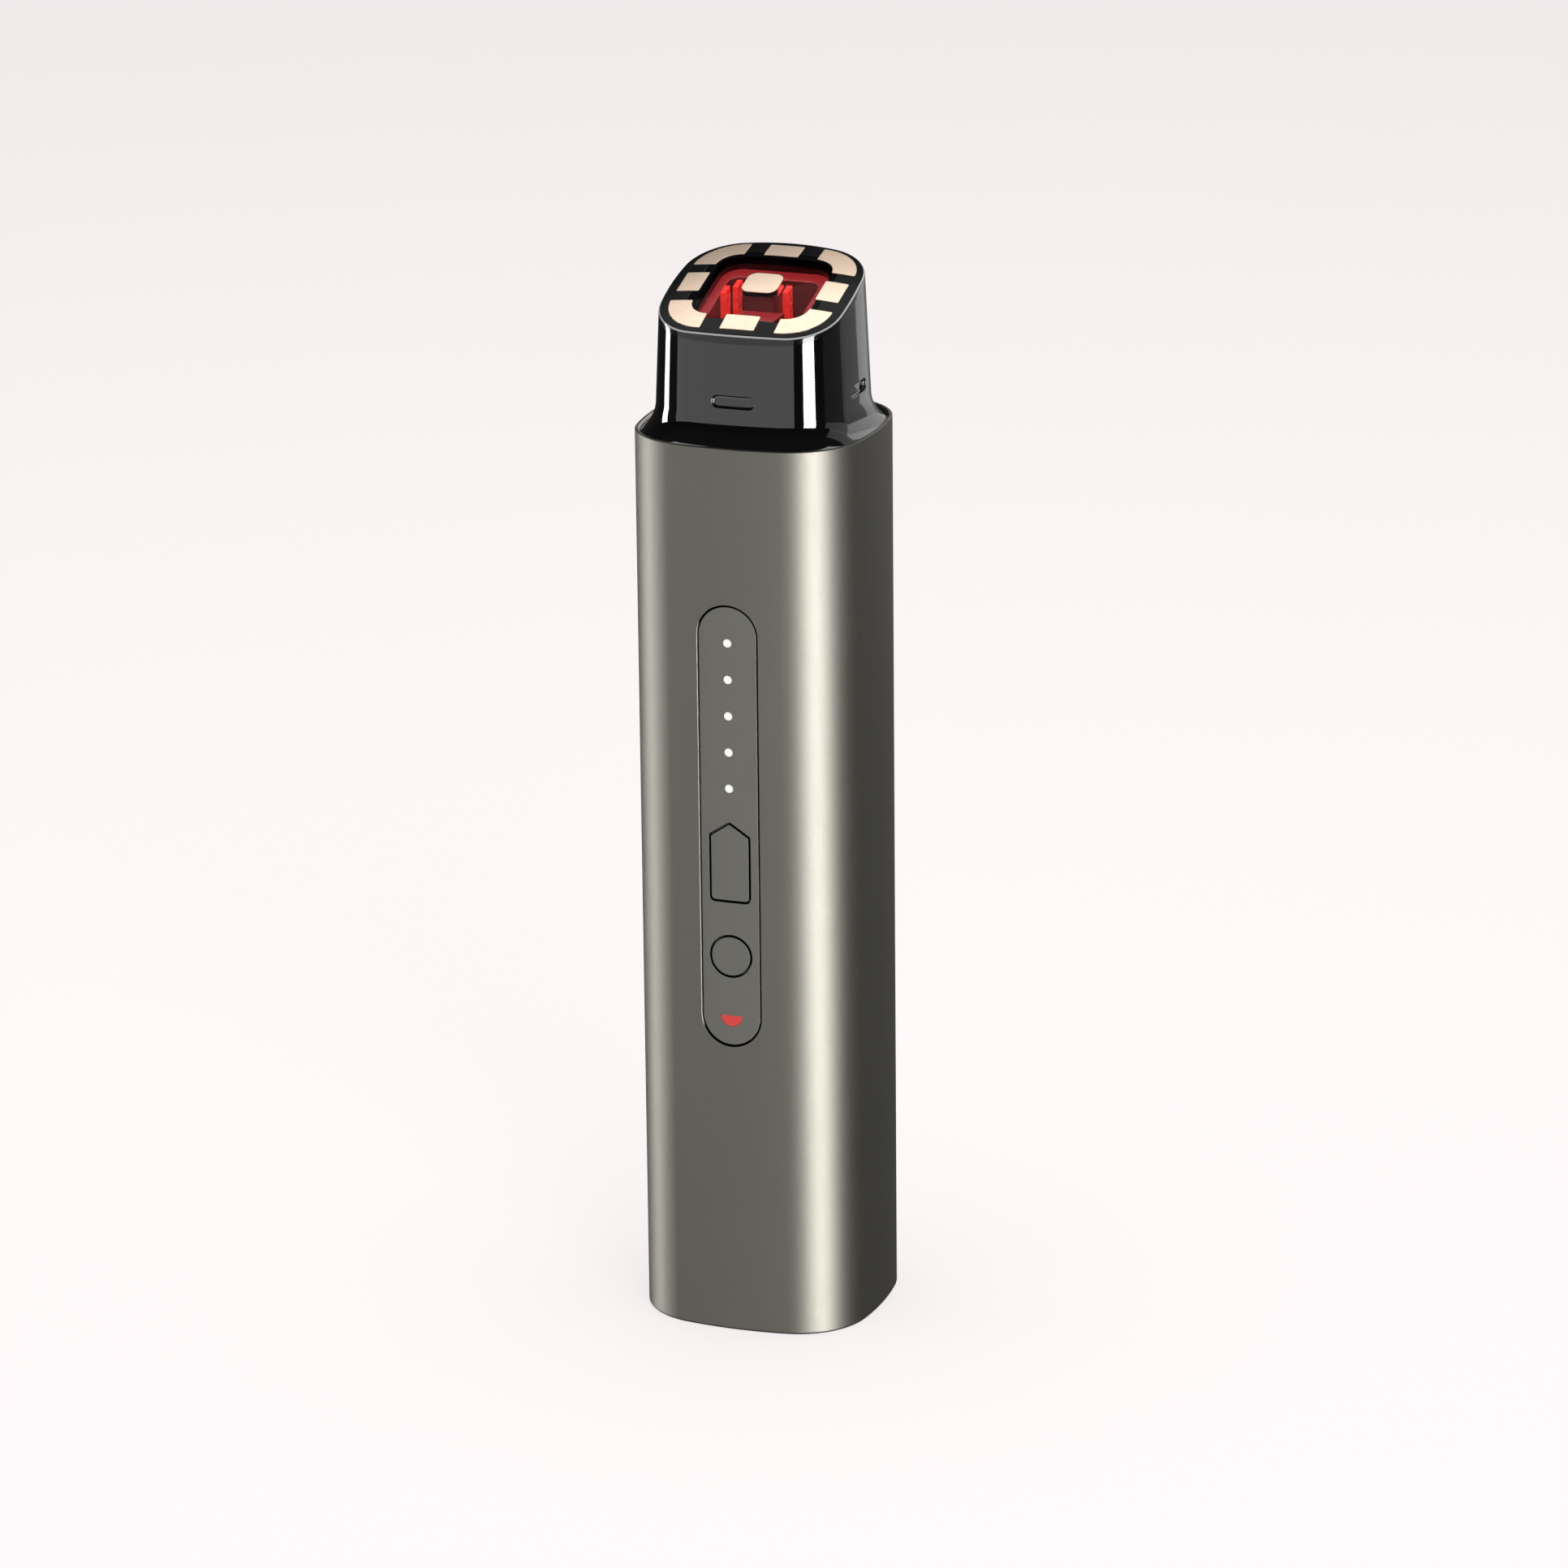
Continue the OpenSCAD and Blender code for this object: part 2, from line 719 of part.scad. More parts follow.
// Two windings, one on each half of the ring
module choke_coil() {
    color("saddlebrown") difference() {
        on_front(board_back, board_back + choke_t, choke_z) difference() {
            circle(choke_r);
            circle(choke_hole_r);
            square([2 * choke_wire, 3 * choke_r], center = true);
        }
        on_front(board_back + choke_wire - inlay_gap, board_back + choke_t - choke_wire + inlay_gap, choke_z)
            difference() {
                circle(choke_r - choke_wire + inlay_gap);
                circle(choke_hole_r + choke_wire - inlay_gap);
            }
    }
}

cell_end = 0.2;        // between the cell and the ribs at its ends
cell_edge = 0.5;
crimp_z = 3.5;
crimp_depth = 0.4;

// The cell with its rounded ends and the crimp below its cap
module battery_cell() {
    r = battery_d / 2;
    h = battery_l - 2 * cell_end;
    color("royalblue") translate([0, battery_y, battery_floor + cell_end]) rotate_extrude()
        polygon([[0, 0], [r - cell_edge, 0], [r, cell_edge],
            [r, h - crimp_z - cell_edge], [r - crimp_depth, h - crimp_z],
            [r, h - crimp_z + cell_edge], [r, h - cell_edge], [r - cell_edge, h], [0, h]]);
}

tab_t = 0.3;
tab_w = 4;
tab_l = 7;

module battery_tabs() {
    color("silver") for (z = [battery_floor + cell_end - tab_t, battery_floor + battery_l - cell_end])
        translate([-tab_w / 2, battery_y - tab_l / 2, z]) cube([tab_w, tab_l, tab_t]);
}

// Two leads from the cell's top tab, over the rib and forward to the main board
module battery_leads() {
    foot = battery_floor + battery_l - cell_end + tab_t;
    front = board_back - body_d / 2;
    for (s = [-1, 1]) color(s < 0 ? "red" : "black") translate([s * lead_pitch / 2, battery_y, 0]) {
        translate([0, 0, foot]) cylinder(r = lead_r, h = lead_z - foot);
        translate([0, 0, lead_z]) sphere(lead_r);
        translate([0, 0, lead_z]) rotate([90, 0, 0]) cylinder(r = lead_r, h = battery_y - front);
    }
}

charge_board_z = 8.6;
charge_board_t = 1;
charge_board_d = 9;

module charge_board() {
    color("darkgreen") difference() {
        translate([-charge_board_a, -charge_board_d / 2, charge_board_z])
            cube([2 * charge_board_a, charge_board_d, charge_board_t]);
        for (s = [-1, 1]) translate([s * charge_screw_x, 0, 0])
            cylinder(r = small_screw_r + screw_gap, h = 20);
    }
}

module charge_screws() {
    color("silver") for (s = [-1, 1])
        translate([s * charge_screw_x, 0, charge_board_z + charge_board_t + small_head_h])
            screw(small_screw_r, small_head_r, small_head_h, charge_board_t + 3);
}

port_mouth = 0.5;
port_wall = 0.3;
port_back = charge_board_z - 1.2;

module charge_port() {
    color("silver") difference() {
        translate([0, 0, port_mouth]) linear_extrude(charge_board_z - port_mouth) rotate(90)
            stadium(port_h, port_w);
        translate([0, 0, port_mouth - 1]) linear_extrude(port_back - port_mouth + 1) rotate(90)
            stadium(port_h - 2 * port_wall, port_w - 2 * port_wall);
    }
}

tongue_w = 6.6;
tongue_t = 0.7;

module charge_tongue() {
    color("black") translate([-tongue_w / 2, -tongue_t / 2, port_mouth + 1])
        cube([tongue_w, tongue_t, port_back - port_mouth - 1]);
}

charge_flex_w = 5;
charge_flex_x = 4;
charge_flex_y = -3.5;

// Flat cable from the charging board up to the main board
module charge_flex() {
    back = board_back - body_d / 2;
    foot = charge_board_z + charge_board_t;
    bend = frame_bottom + flange_h + 2;
    top = board_bottom + 4;
    y = charge_flex_y;
    color("darkorange") translate([charge_flex_x, 0, 0]) rotate([90, 0, 90]) linear_extrude(charge_flex_w)
        polygon([[y, foot], [y, bend + flex_t], [back + flex_t, bend + flex_t], [back + flex_t, top],
            [back, top], [back, bend], [y - flex_t, bend], [y - flex_t, foot]]);
}

// ---------- Head ----------

// Sections of the head, each [width, depth, side radius, corner radius]
function head_section(z) =
    let (k = (face_z - z) * tan(head_draft)) [face_w + 2 * k, face_d + 2 * k, side_arc, face_corner_r + k];
function sleeve_section(inset) =
    [body_w - 2 * inset, body_d - 2 * inset, side_arc - inset, corner_r - inset];
function inset_section(s, d) = [s[0] - 2 * d, s[1] - 2 * d, s[2] - d, s[3] - d];
function mix(p, q, t) = p * (1 - t) + q * t;

// Points of a squircle section at height z, counter-clockwise from the middle of the front
side_steps = 6;
corner_steps = 8;

// Centre of the corner arc that is tangent to two bowed sides of radius sr
function corner_centre(a, b, sr, cr) =
    let (m = sr - cr, dx = sr - a, dy = sr - b, d = norm([dx, dy]), h = sqrt(m * m - d * d / 4))
    [-dx / 2 + h * dy / d, dy / 2 - h * dx / d];
function quadrant(s) =
    let (a = s[0] / 2, b = s[1] / 2, sr = s[2], cr = s[3], c = corner_centre(a, b, sr, cr),
        fy = [0, sr - b], fx = [a - sr, 0],
        a0 = atan2((c - fy)[1], (c - fy)[0]), a1 = atan2((c - fx)[1], (c - fx)[0]))
    concat(
        [for (i = [0:side_steps - 1]) let (t = -90 + (a0 + 90) * i / side_steps) fy + sr * [cos(t), sin(t)]],
        [for (i = [0:corner_steps]) let (t = a0 + (a1 - a0) * i / corner_steps) c + cr * [cos(t), sin(t)]],
        [for (i = [1:side_steps]) let (t = a1 - a1 * i / side_steps) fx + sr * [cos(t), sin(t)]]);
function ring(s, z) =
    let (q = quadrant(s), n = len(q))
    concat(
        [for (p = q) [p[0], p[1], z]],
        [for (i = [n - 2:-1:0]) [q[i][0], -q[i][1], z]],
        [for (i = [1:n - 1]) [-q[i][0], -q[i][1], z]],
        [for (i = [n - 2:-1:1]) [-q[i][0], q[i][1], z]]);

// Skins a stack of rings with the same number of points, and closes both ends
module loft(rings) {
    n = len(rings[0]);
    m = len(rings);
    polyhedron(
        points = [for (r = rings) for (p = r) p],
        faces = concat(
            [[for (i = [0:n - 1]) i]],
            [for (k = [0:m - 2], i = [0:n - 1]) let (j = (i + 1) % n)
                [k * n + i, (k + 1) * n + i, (k + 1) * n + j, k * n + j]],
            [[for (i = [n - 1:-1:0]) (m - 1) * n + i]]));
}

collar_drop = 0.4;
collar_z = body_h - collar_drop;
collar_step = body_h - rim_h + slide_gap;
flare_top = collar_z + flare_h;
flare_steps = 8;
flare_turn = 59;        // slope of the flare at its foot, from the vertical
loft_top = face_z + 8;

// Outside of the head: skirt inside the sleeve, collar in its rim, concave flare, drafted walls
module head_outside() {
    skirt = sleeve_section(sleeve_wall + slide_gap);
    collar = sleeve_section(rim_wall + slide_gap);
    neck = head_section(flare_top);
    loft(concat(
        [ring(skirt, frame_top), ring(skirt, collar_step), ring(collar, collar_step)],
        [for (i = [flare_steps:-1:0]) let (t = flare_turn * i / flare_steps)
            ring(mix(neck, collar, (1 - cos(t)) / (1 - cos(flare_turn))),
                flare_top - flare_h * sin(t) / sin(flare_turn))],
        [ring(head_section(loft_top), loft_top)]));
}

// Inside of the head, one wall in
module head_inside() {
    foot = sleeve_section(sleeve_wall + slide_gap + 2);
    loft([ring(foot, frame_top - 1), ring(foot, collar_z - 1.5),
        ring(inset_section(head_section(flare_top), head_wall), flare_top + 1),
        ring(inset_section(head_section(loft_top), head_wall), loft_top)]);
}

// A column in the face's frame that follows the head's outline, moved inwards by inset
module face_column(inset, w0, w1) {
    on_face() translate([0, 0, w0]) linear_extrude(w1 - w0)
        squircle(face_w - 2 * inset, face_d / cos(face_tilt) - 2 * inset, side_arc, face_corner_r - inset);
}

notch_z = collar_z + 7.1;

// A pill-shaped notch cut into one wall of the head, turned by a; reach is the wall's distance from the axis
module notch(a, reach) {
    rotate(a) translate([0, -reach + notch_depth, notch_z]) rotate([90, 0, 0])
        linear_extrude(5) rotate(90) stadium(notch_h, notch_l);
}

module head_shell() {
    neck = head_section(notch_z);
    color("black") difference() {
        intersection() {
            head_outside();
            below_face(rim_w);
        }
        difference() {
            head_inside();
            for (x = [-1, 1], y = [-1, 1]) translate([x * head_screw_at[0], y * head_screw_at[1], plate_top])
                cylinder(r = boss_r, h = flare_top + 2 - plate_top);
        }
        face_column(lip, spigot_w - seal_t, 1);
        for (a = [0, 180]) notch(a, neck[1] / 2);
        for (a = [90, -90]) notch(a, neck[0] / 2);
        for (x = [-1, 1], y = [-1, 1]) translate([x * head_screw_at[0], y * head_screw_at[1], plate_top - 1])
            cylinder(r = screw_r + screw_gap, h = 8);
    }
}

module head_screws() {
    color("silver") for (x = [-1, 1], y = [-1, 1])
        translate([x * head_screw_at[0], y * head_screw_at[1], frame_top - flange_h - screw_head_h])
            rotate([180, 0, 0]) screw(screw_r, screw_head_r, screw_head_h, flange_h + 8);
}

module head_frame() {
    color("darkslategray") difference() {
        union() {
            sleeve_core(sleeve_wall + slide_gap + 2 + 0.2, frame_top, plate_top);
            for (x = [-1, 1], y = [-1, 1])
                translate([x * light_screw_at[0], y * light_screw_at[1], plate_top - eps])
                    cylinder(r = post_r, h = light_board_z - plate_top + eps);
        }
        for (x = [-1, 1], y = [-1, 1]) {
            translate([x * head_screw_at[0], y * head_screw_at[1], frame_top - 1])
                cylinder(r = screw_r + screw_gap, h = 5);
            translate([x * light_screw_at[0], y * light_screw_at[1], light_board_z - 4])
                cylinder(r = small_screw_r + screw_gap, h = 5);
        }
        translate([-head_flex_w / 2 - 1, head_flex_y - 1, frame_top - 1])
            cube([head_flex_w + 2, flex_t + 2, 5]);
    }
}

module light_screws() {
    color("silver") for (x = [-1, 1], y = [-1, 1])
        translate([x * light_screw_at[0], y * light_screw_at[1], light_top_z + small_head_h])
            screw(small_screw_r, small_head_r, small_head_h, light_board_t + 3);
}

// ---------- Face ----------

// Outline of a quarter ring, in the first quadrant of the face
module corner_pad(grow = 0) {
    translate([ring_w / 2 - ring_corner_r, ring_l / 2 - ring_corner_r]) intersection() {
        difference() {
            circle(ring_corner_r + grow);
            circle(ring_corner_r - band - grow);
        }
        translate([-grow, -grow]) square(ring_corner_r + 2 * grow);
    }
}

module end_pad(grow = 0) {
    translate([0, ring_l / 2 - band / 2]) square([pad_l + 2 * grow, band + 2 * grow], center = true);
}

module edge_pad(grow = 0) {
    translate([ring_w / 2 - band / 2, 0]) square([band + 2 * grow, pad_l + 2 * grow], center = true);
}

module corner_pads(grow = 0) {
    for (x = [0, 1], y = [0, 1]) mirror([x, 0]) mirror([0, y]) corner_pad(grow);
}

module side_pads(grow = 0) {
    for (m = [0, 1]) {
        mirror([0, m]) end_pad(grow);
        mirror([m, 0]) edge_pad(grow);
    }
}

// Electrode metal: its outline's column between the dome and the same dome one thickness down
module pad_metal() {
    difference() {
        intersection() {
            on_face() translate([0, 0, -4]) linear_extrude(8) children();
            under_dome();
        }
        under_dome(pad_t);
    }
}

module corner_electrodes() {
    color("wheat") pad_metal() corner_pads();
}

module side_electrodes() {
    color("wheat") pad_metal() side_pads();
}

window_lap = 1.2;       // how far the window reaches under the electrodes
window_w = ring_w - 2 * band + 2 * window_lap;
window_l = ring_l - 2 * band + 2 * window_lap;
window_r = ring_corner_r - band + window_lap;
well_lip = 0.7;         // how far the black ring under the window reaches in
well_w = ring_w - 2 * band - 2 * well_lip;
well_l = ring_l - 2 * band - 2 * well_lip;
well_r = ring_corner_r - band - 0.4;

// Ring where the head's wall, moved in by inset, meets the plane at w along the face's normal
function wall_ring(inset, w) =
    let (n = [0, -sin(face_tilt), cos(face_tilt)], low = face_z - 20,
        p = ring(inset_section(head_section(low), inset), low),
        q = ring(inset_section(head_section(loft_top), inset), loft_top))
    [for (i = [0:len(p) - 1]) mix(p[i], q[i], (w - (p[i] - [0, 0, face_z]) * n) / ((q[i] - p[i]) * n))];

// The face plate's rounded edge, up to a little above the dome
module face_edge() {
    loft(concat(
        [wall_ring(0, rim_w)],
        [for (i = [0:edge_steps]) let (t = 90 * i / edge_steps)
            wall_ring(edge_r * (1 - cos(t)), edge_w + edge_r * sin(t))]));
}

// Pockets for the ring of electrodes
module pad_pockets() {
    difference() {
        on_face() translate([0, 0, -4]) linear_extrude(8) {
            corner_pads(inlay_gap);
            side_pads(inlay_gap);
        }
        under_dome(pad_t + inlay_gap);
    }
}

module face_plate() {
    color("black") difference() {
        union() {
            intersection() {
                face_edge();
                under_dome();
            }
            face_column(lip + inlay_gap, spigot_w, rim_w + eps);
        }
        pad_pockets();
        difference() {
            on_face() translate([0, 0, -4]) linear_extrude(8)
                round_rect(window_w + 2 * inlay_gap, window_l + 2 * inlay_gap, window_r + inlay_gap);
            under_dome(window_t + inlay_gap);
        }
        on_face() translate([0, 0, -6]) linear_extrude(12) round_rect(well_w, well_l, well_r);
        for (p = pin_places) translate([p[0], p[1], light_top_z]) cylinder(r = pin_r + 0.1, h = 30);
    }
}

module face_seal() {
    color("darkred") difference() {
        face_column(lip + 0.1, spigot_w - seal_t, spigot_w);
        face_column(lip + 0.7, spigot_w - seal_t - 1, spigot_w + 1);
    }
}

centre_d = (centre_w - 0.1) * cos(face_tilt);

// The centre electrode's and its post's column, straight down the body's axis
module centre_column(grow, z0, z1) {
    translate([0, 0, z0]) linear_extrude(z1 - z0)
        round_rect(centre_w + 2 * grow, centre_d + 2 * grow, centre_r + grow);
}

module centre_electrode() {
    color("wheat") difference() {
        intersection() {
            centre_column(0, light_top_z, face_z + 8);
            under_dome();
        }
        under_dome(pad_t);
    }
}

cup_floor_t = 0.8;
cup_floor = light_top_z + cup_floor_t;

module centre_post() {
    color("maroon") difference() {
        intersection() {
            centre_column(0, cup_floor, face_z + 8);
            under_dome(pad_t + inlay_gap);
        }
        cylinder(r = pin_r + 0.1, h = face_z + 8);
    }
}

module light_window() {
    color("red", 0.5) difference() {
        intersection() {
            on_face() translate([0, 0, -4]) linear_extrude(8) round_rect(window_w, window_l, window_r);
            under_dome();
        }
        under_dome(window_t);
        pad_pockets();
        centre_column(inlay_gap, light_top_z, face_z + 8);
    }
}

cup_a = well_w / 2 + 1;
cup_b = well_l / 2 * cos(face_tilt) + 1;
light_screw_at = [cup_a + 0.5 + small_head_r, head_screw_at[1] - boss_r - post_r - 0.5];

cup_r = well_r + 1;
cup_in_a = cup_a - cup_wall;
cup_in_b = cup_b - cup_wall;
step_h = 3.8;
step_ends = [-2.6, 4.9];

// Cup with a raised step in front of the post
module reflector_cup() {
    color("firebrick") difference() {
        intersection() {
            translate([0, 0, light_top_z]) linear_extrude(face_z - light_top_z + 10)
                round_rect(2 * cup_a, 2 * cup_b, cup_r);
            below_face(spigot_w - inlay_gap);
        }
        difference() {
            translate([0, 0, cup_floor]) linear_extrude(30)
                round_rect(2 * cup_in_a, 2 * cup_in_b, cup_r - cup_wall);
            translate([step_ends[0], -cup_b, cup_floor - 1])
                cube([step_ends[1] - step_ends[0], cup_b - centre_d / 2 - inlay_gap, step_h + 1]);
        }
        for (p = led_places) translate([p[0], p[1], light_top_z + 1])
            cube([led_side + 0.2, led_side + 0.2, 4], center = true);
        translate([0, 0, light_top_z - 1]) cylinder(r = pin_r + 0.1, h = 4);
    }
}

led_side = 1.6;
led_x = (centre_w / 2 + cup_in_a) / 2;
led_y = (centre_w / 2 + cup_in_b) / 2;
led_places = [for (x = [-1, 1], y = [-1, 1]) [x * led_x, y * led_y]];

module red_leds() {
    color("red") for (p = led_places) translate([p[0], p[1], light_top_z + led_h / 2])
        cube([led_side, led_side, led_h], center = true);
}

// Upright prisms that carry the red light past the post
guide_w = 1;
guide_l = 2.4;
guide_places = [[1.1 - cup_in_a, 0.6], [0.25 - led_x, 2.5], [centre_w / 2 + 0.1 + guide_w / 2, 1.8]];

module light_guides() {
    color("red") intersection() {
        union() for (p = guide_places) translate([p[0] - guide_w / 2, p[1] - guide_l / 2, cup_floor])
            cube([guide_w, guide_l, 12]);
        under_dome(window_t + 0.3);
    }
}

// The head's inside at the light board, less a little room
module board_outline() {
    s = inset_section(head_section(light_top_z), head_wall + 0.25);
    squircle(s[0], s[1], s[2], s[3]);
}

module light_board() {
    color("white") difference() {
        translate([0, 0, light_board_z]) linear_extrude(light_board_t) board_outline();
        for (x = [-1, 1], y = [-1, 1])
            translate([x * light_screw_at[0], y * light_screw_at[1], light_board_z - 1])
                cylinder(r = small_screw_r + screw_gap, h = 4);
    }
}

pin_r = 0.5;
pad_mid = ring_corner_r - band / 2;
corner_pin = [ring_w / 2 - ring_corner_r + pad_mid * cos(45), ring_l / 2 - ring_corner_r + pad_mid * sin(45)];

// Plan position of a point of the face, given across and up the slope
function plan(p) = [p[0], p[1] * cos(face_tilt)];
pin_places = concat(
    [for (x = [-1, 1], y = [-1, 1]) plan([x * corner_pin[0], y * corner_pin[1]])],
    [for (s = [-1, 1]) plan([0, s * (ring_l - band) / 2])],
    [for (s = [-1, 1]) plan([s * (ring_w - band) / 2, 0])]);

// Height of the face plate's underside over the point y of the plan
function plate_under(y) = face_z + y * tan(face_tilt) + spigot_w / cos(face_tilt);
sleeve_r = 0.8;
sleeve_h = plate_under(-(ring_l - band) / 2 * cos(face_tilt) - sleeve_r) - light_top_z - 0.5;

// Sockets on the light board that the spring contacts stand in
module contact_sleeves() {
    color("gold") for (p = pin_places) translate([p[0], p[1], light_top_z]) difference() {
        cylinder(r = sleeve_r, h = sleeve_h);
        translate([0, 0, pin_foot]) cylinder(r = pin_r + inlay_gap, h = sleeve_h);
    }
}

pin_foot = 0.3;

// Spring contacts from their sockets to the back of each electrode; the middle one stands on the board
module contact_pins() {
    color("gold") intersection() {
        union() {
            for (p = pin_places) translate([p[0], p[1], light_top_z + pin_foot]) cylinder(r = pin_r, h = 20);
            translate([0, 0, light_top_z]) cylinder(r = pin_r, h = 20);
        }
        under_dome(pad_t);
    }
}

head_flex_w = 6;
head_flex_y = flex_gap - flange_b;

// Flat cable from the main board, through the head frame, to the light board
module head_flex() {
    back = board_back - body_d / 2;
    foot = board_top - 4;
    jog = frame_top - 3;
    y = head_flex_y;
    color("darkorange") translate([-head_flex_w / 2, 0, 0]) rotate([90, 0, 90]) linear_extrude(head_flex_w)
        polygon([[back, foot], [back + flex_t, foot], [back + flex_t, jog - flex_t],
            [y + flex_t, jog - flex_t], [y + flex_t, light_board_z], [y, light_board_z],
            [y, jog], [back, jog]]);
}

outer_sleeve();
base_cap();
front_frame();
rear_frame();
control_panel();
level_light_pipe();
status_lens();
panel_gasket();
level_button();
power_button();
switch_stem(switch_zs[0]);  // level_switch_stem
switch_stem(switch_zs[1]);  // power_switch_stem
switch_housings();
main_board();
indicator_leds();
board_chips();
transformer_core();
transformer_bobbin();
transformer_winding();
capacitors();
choke_core();
choke_coil();
battery_cell();
battery_tabs();
battery_leads();
charge_board();
charge_port();
charge_tongue();
charge_flex();
base_screws();
frame_screws();
board_screws();
charge_screws();
head_screws();
light_screws();
head_shell();
head_frame();
face_plate();
face_seal();
corner_electrodes();
side_electrodes();
centre_electrode();
centre_post();
light_window();
reflector_cup();
light_guides();
light_board();
red_leds();
contact_sleeves();
contact_pins();
head_flex();
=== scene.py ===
# Facial toning wand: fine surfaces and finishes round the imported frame, with its studio and camera.
import json
import math
import bmesh
import bpy
import numpy as np
from mathutils import Matrix, Vector


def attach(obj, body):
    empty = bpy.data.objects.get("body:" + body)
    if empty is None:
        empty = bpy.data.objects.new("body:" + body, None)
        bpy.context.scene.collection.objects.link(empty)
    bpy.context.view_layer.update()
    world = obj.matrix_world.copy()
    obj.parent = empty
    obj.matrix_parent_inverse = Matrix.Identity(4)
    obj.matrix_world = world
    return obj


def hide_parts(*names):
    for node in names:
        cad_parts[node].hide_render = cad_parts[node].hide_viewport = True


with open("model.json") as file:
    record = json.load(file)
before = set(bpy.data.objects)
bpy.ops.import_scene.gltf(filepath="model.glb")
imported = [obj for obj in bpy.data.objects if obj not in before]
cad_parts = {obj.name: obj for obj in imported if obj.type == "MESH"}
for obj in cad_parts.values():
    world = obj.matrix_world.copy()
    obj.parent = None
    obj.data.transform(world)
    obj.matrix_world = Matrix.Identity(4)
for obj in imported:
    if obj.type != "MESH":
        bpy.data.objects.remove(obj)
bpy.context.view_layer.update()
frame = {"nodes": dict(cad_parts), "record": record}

MM = 0.001

# ---------- Sizes of the wand, in millimetres ----------

BODY_W, BODY_D, BODY_H = 40.0, 38.7, 154.4
SIDE_ARC, CORNER_R, WALL = 60.0, 12.5, 1.3
FACE_W, FACE_D, FACE_R = 31.9, 28.5, 9.0
FACE_Z = BODY_H + 22.4
TILT = math.radians(17.5)
DRAFT = math.tan(math.radians(2.6))
RIM_WALL, RIM_H = 0.9, 1.4
FLARE_H, FLARE_TURN = 4.8, math.radians(59)
COLLAR_Z = BODY_H - 0.4
FLARE_TOP = COLLAR_Z + FLARE_H
FRAME_TOP = BODY_H - 8.4
SLIDE_GAP = 0.1
STEP_Z = BODY_H - RIM_H + SLIDE_GAP
INLAY_GAP = 0.05
DOME_R, DOME_RISE = 125.0, 0.9
NOTCH_L, NOTCH_H, NOTCH_DEEP = 7.4, 2.0, 0.6
NOTCH_Z = COLLAR_Z + 7.1
RIM_W, LIP = -1.4, 1.1
SPIGOT_W = RIM_W - 1.0

RING_W, RING_L, BAND = 28.2, 27.0, 4.0
RING_R, PAD_L, PAD_T = 7.75, 6.0, 0.9
HOLE_W, HOLE_L, HOLE_R = RING_W - 2 * BAND, RING_L - 2 * BAND, RING_R - BAND
CENTRE_W, CENTRE_R = 6.2, 1.6
CENTRE_D = (CENTRE_W - 0.1) * math.cos(TILT)
WINDOW_LAP, WINDOW_T = 1.2, 1.6
WINDOW_W, WINDOW_L, WINDOW_R = HOLE_W + 2 * WINDOW_LAP, HOLE_L + 2 * WINDOW_LAP, HOLE_R + WINDOW_LAP
WELL_W, WELL_L, WELL_R = HOLE_W - 1.4, HOLE_L - 1.4, HOLE_R - 0.4
CUP_A, CUP_B, CUP_R, CUP_WALL = WELL_W / 2 + 1, WELL_L / 2 * math.cos(TILT) + 1, WELL_R + 1, 2.6
CUP_IN_A, CUP_IN_B = CUP_A - CUP_WALL, CUP_B - CUP_WALL
LIGHT_BOARD_Z, LIGHT_BOARD_T = FACE_Z - 9.2, 1.2
BOARD_TOP = LIGHT_BOARD_Z + LIGHT_BOARD_T
CUP_FLOOR = BOARD_TOP + 0.8
STEP_H, STEP_ENDS = 3.8, (-2.6, 4.9)
LED_X, LED_Y, LED_SIDE = (CENTRE_W / 2 + CUP_IN_A) / 2, (CENTRE_W / 2 + CUP_IN_B) / 2, 1.6
GUIDE_W, GUIDE_L = 1.0, 2.4
GUIDES = [(1.1 - CUP_IN_A, 0.6), (0.25 - LED_X, 2.5), (CENTRE_W / 2 + 0.6, 1.8)]

PANEL_W, PANEL_L, PANEL_Z = 10.5, 76.7, BODY_H - 64.95
PANEL_GAP, PANEL_SINK, PANEL_SKIN = 0.15, 0.2, 1.2
SEAT_DEPTH, PANEL_WALL = 4.35, 0.7
BOARD_FRONT, SWITCH_H = SEAT_DEPTH + 1.4, 2.35
BUTTON_GAP, FLANGE = 0.25, 0.45
LEVEL_W, LEVEL_L, LEVEL_POINT = 7.2, 11.6, 2.4
LEVEL_Z = PANEL_Z - 13
POWER_D, POWER_Z = 7.4, PANEL_Z - 22.5
LIGHTS, LIGHT_PITCH, LIGHT_D = 5, 6.27, 1.45
LIGHT_Z = PANEL_Z + 6.8
MOON_R, MOON_Z = 1.9, PANEL_Z - 32.95

# Screws: radius of the thread, radius of the head and its height
CASE_SCREW, BOARD_SCREW = (0.95, 1.7, 1.2), (0.6, 1.2, 0.8)


# ---------- Sections of the wand ----------

def corner_centre(a, b, sr, cr):
    """Centre of the corner arc that is tangent to two bowed sides"""
    m, dx, dy = sr - cr, sr - a, sr - b
    d = np.hypot(dx, dy)
    h = np.sqrt(m * m - d * d / 4)
    return -dx / 2 + h * dy / d, dy / 2 - h * dx / d


def arcs(s):
    """Centre of a section's front right corner and the angles where its arcs meet"""
    a, b = s[0] / 2, s[1] / 2
    cx, cy = corner_centre(a, b, s[2], s[3])
    return cx, cy, np.arctan2(cy - (s[2] - b), cx), np.arctan2(cy, cx - (a - s[2]))


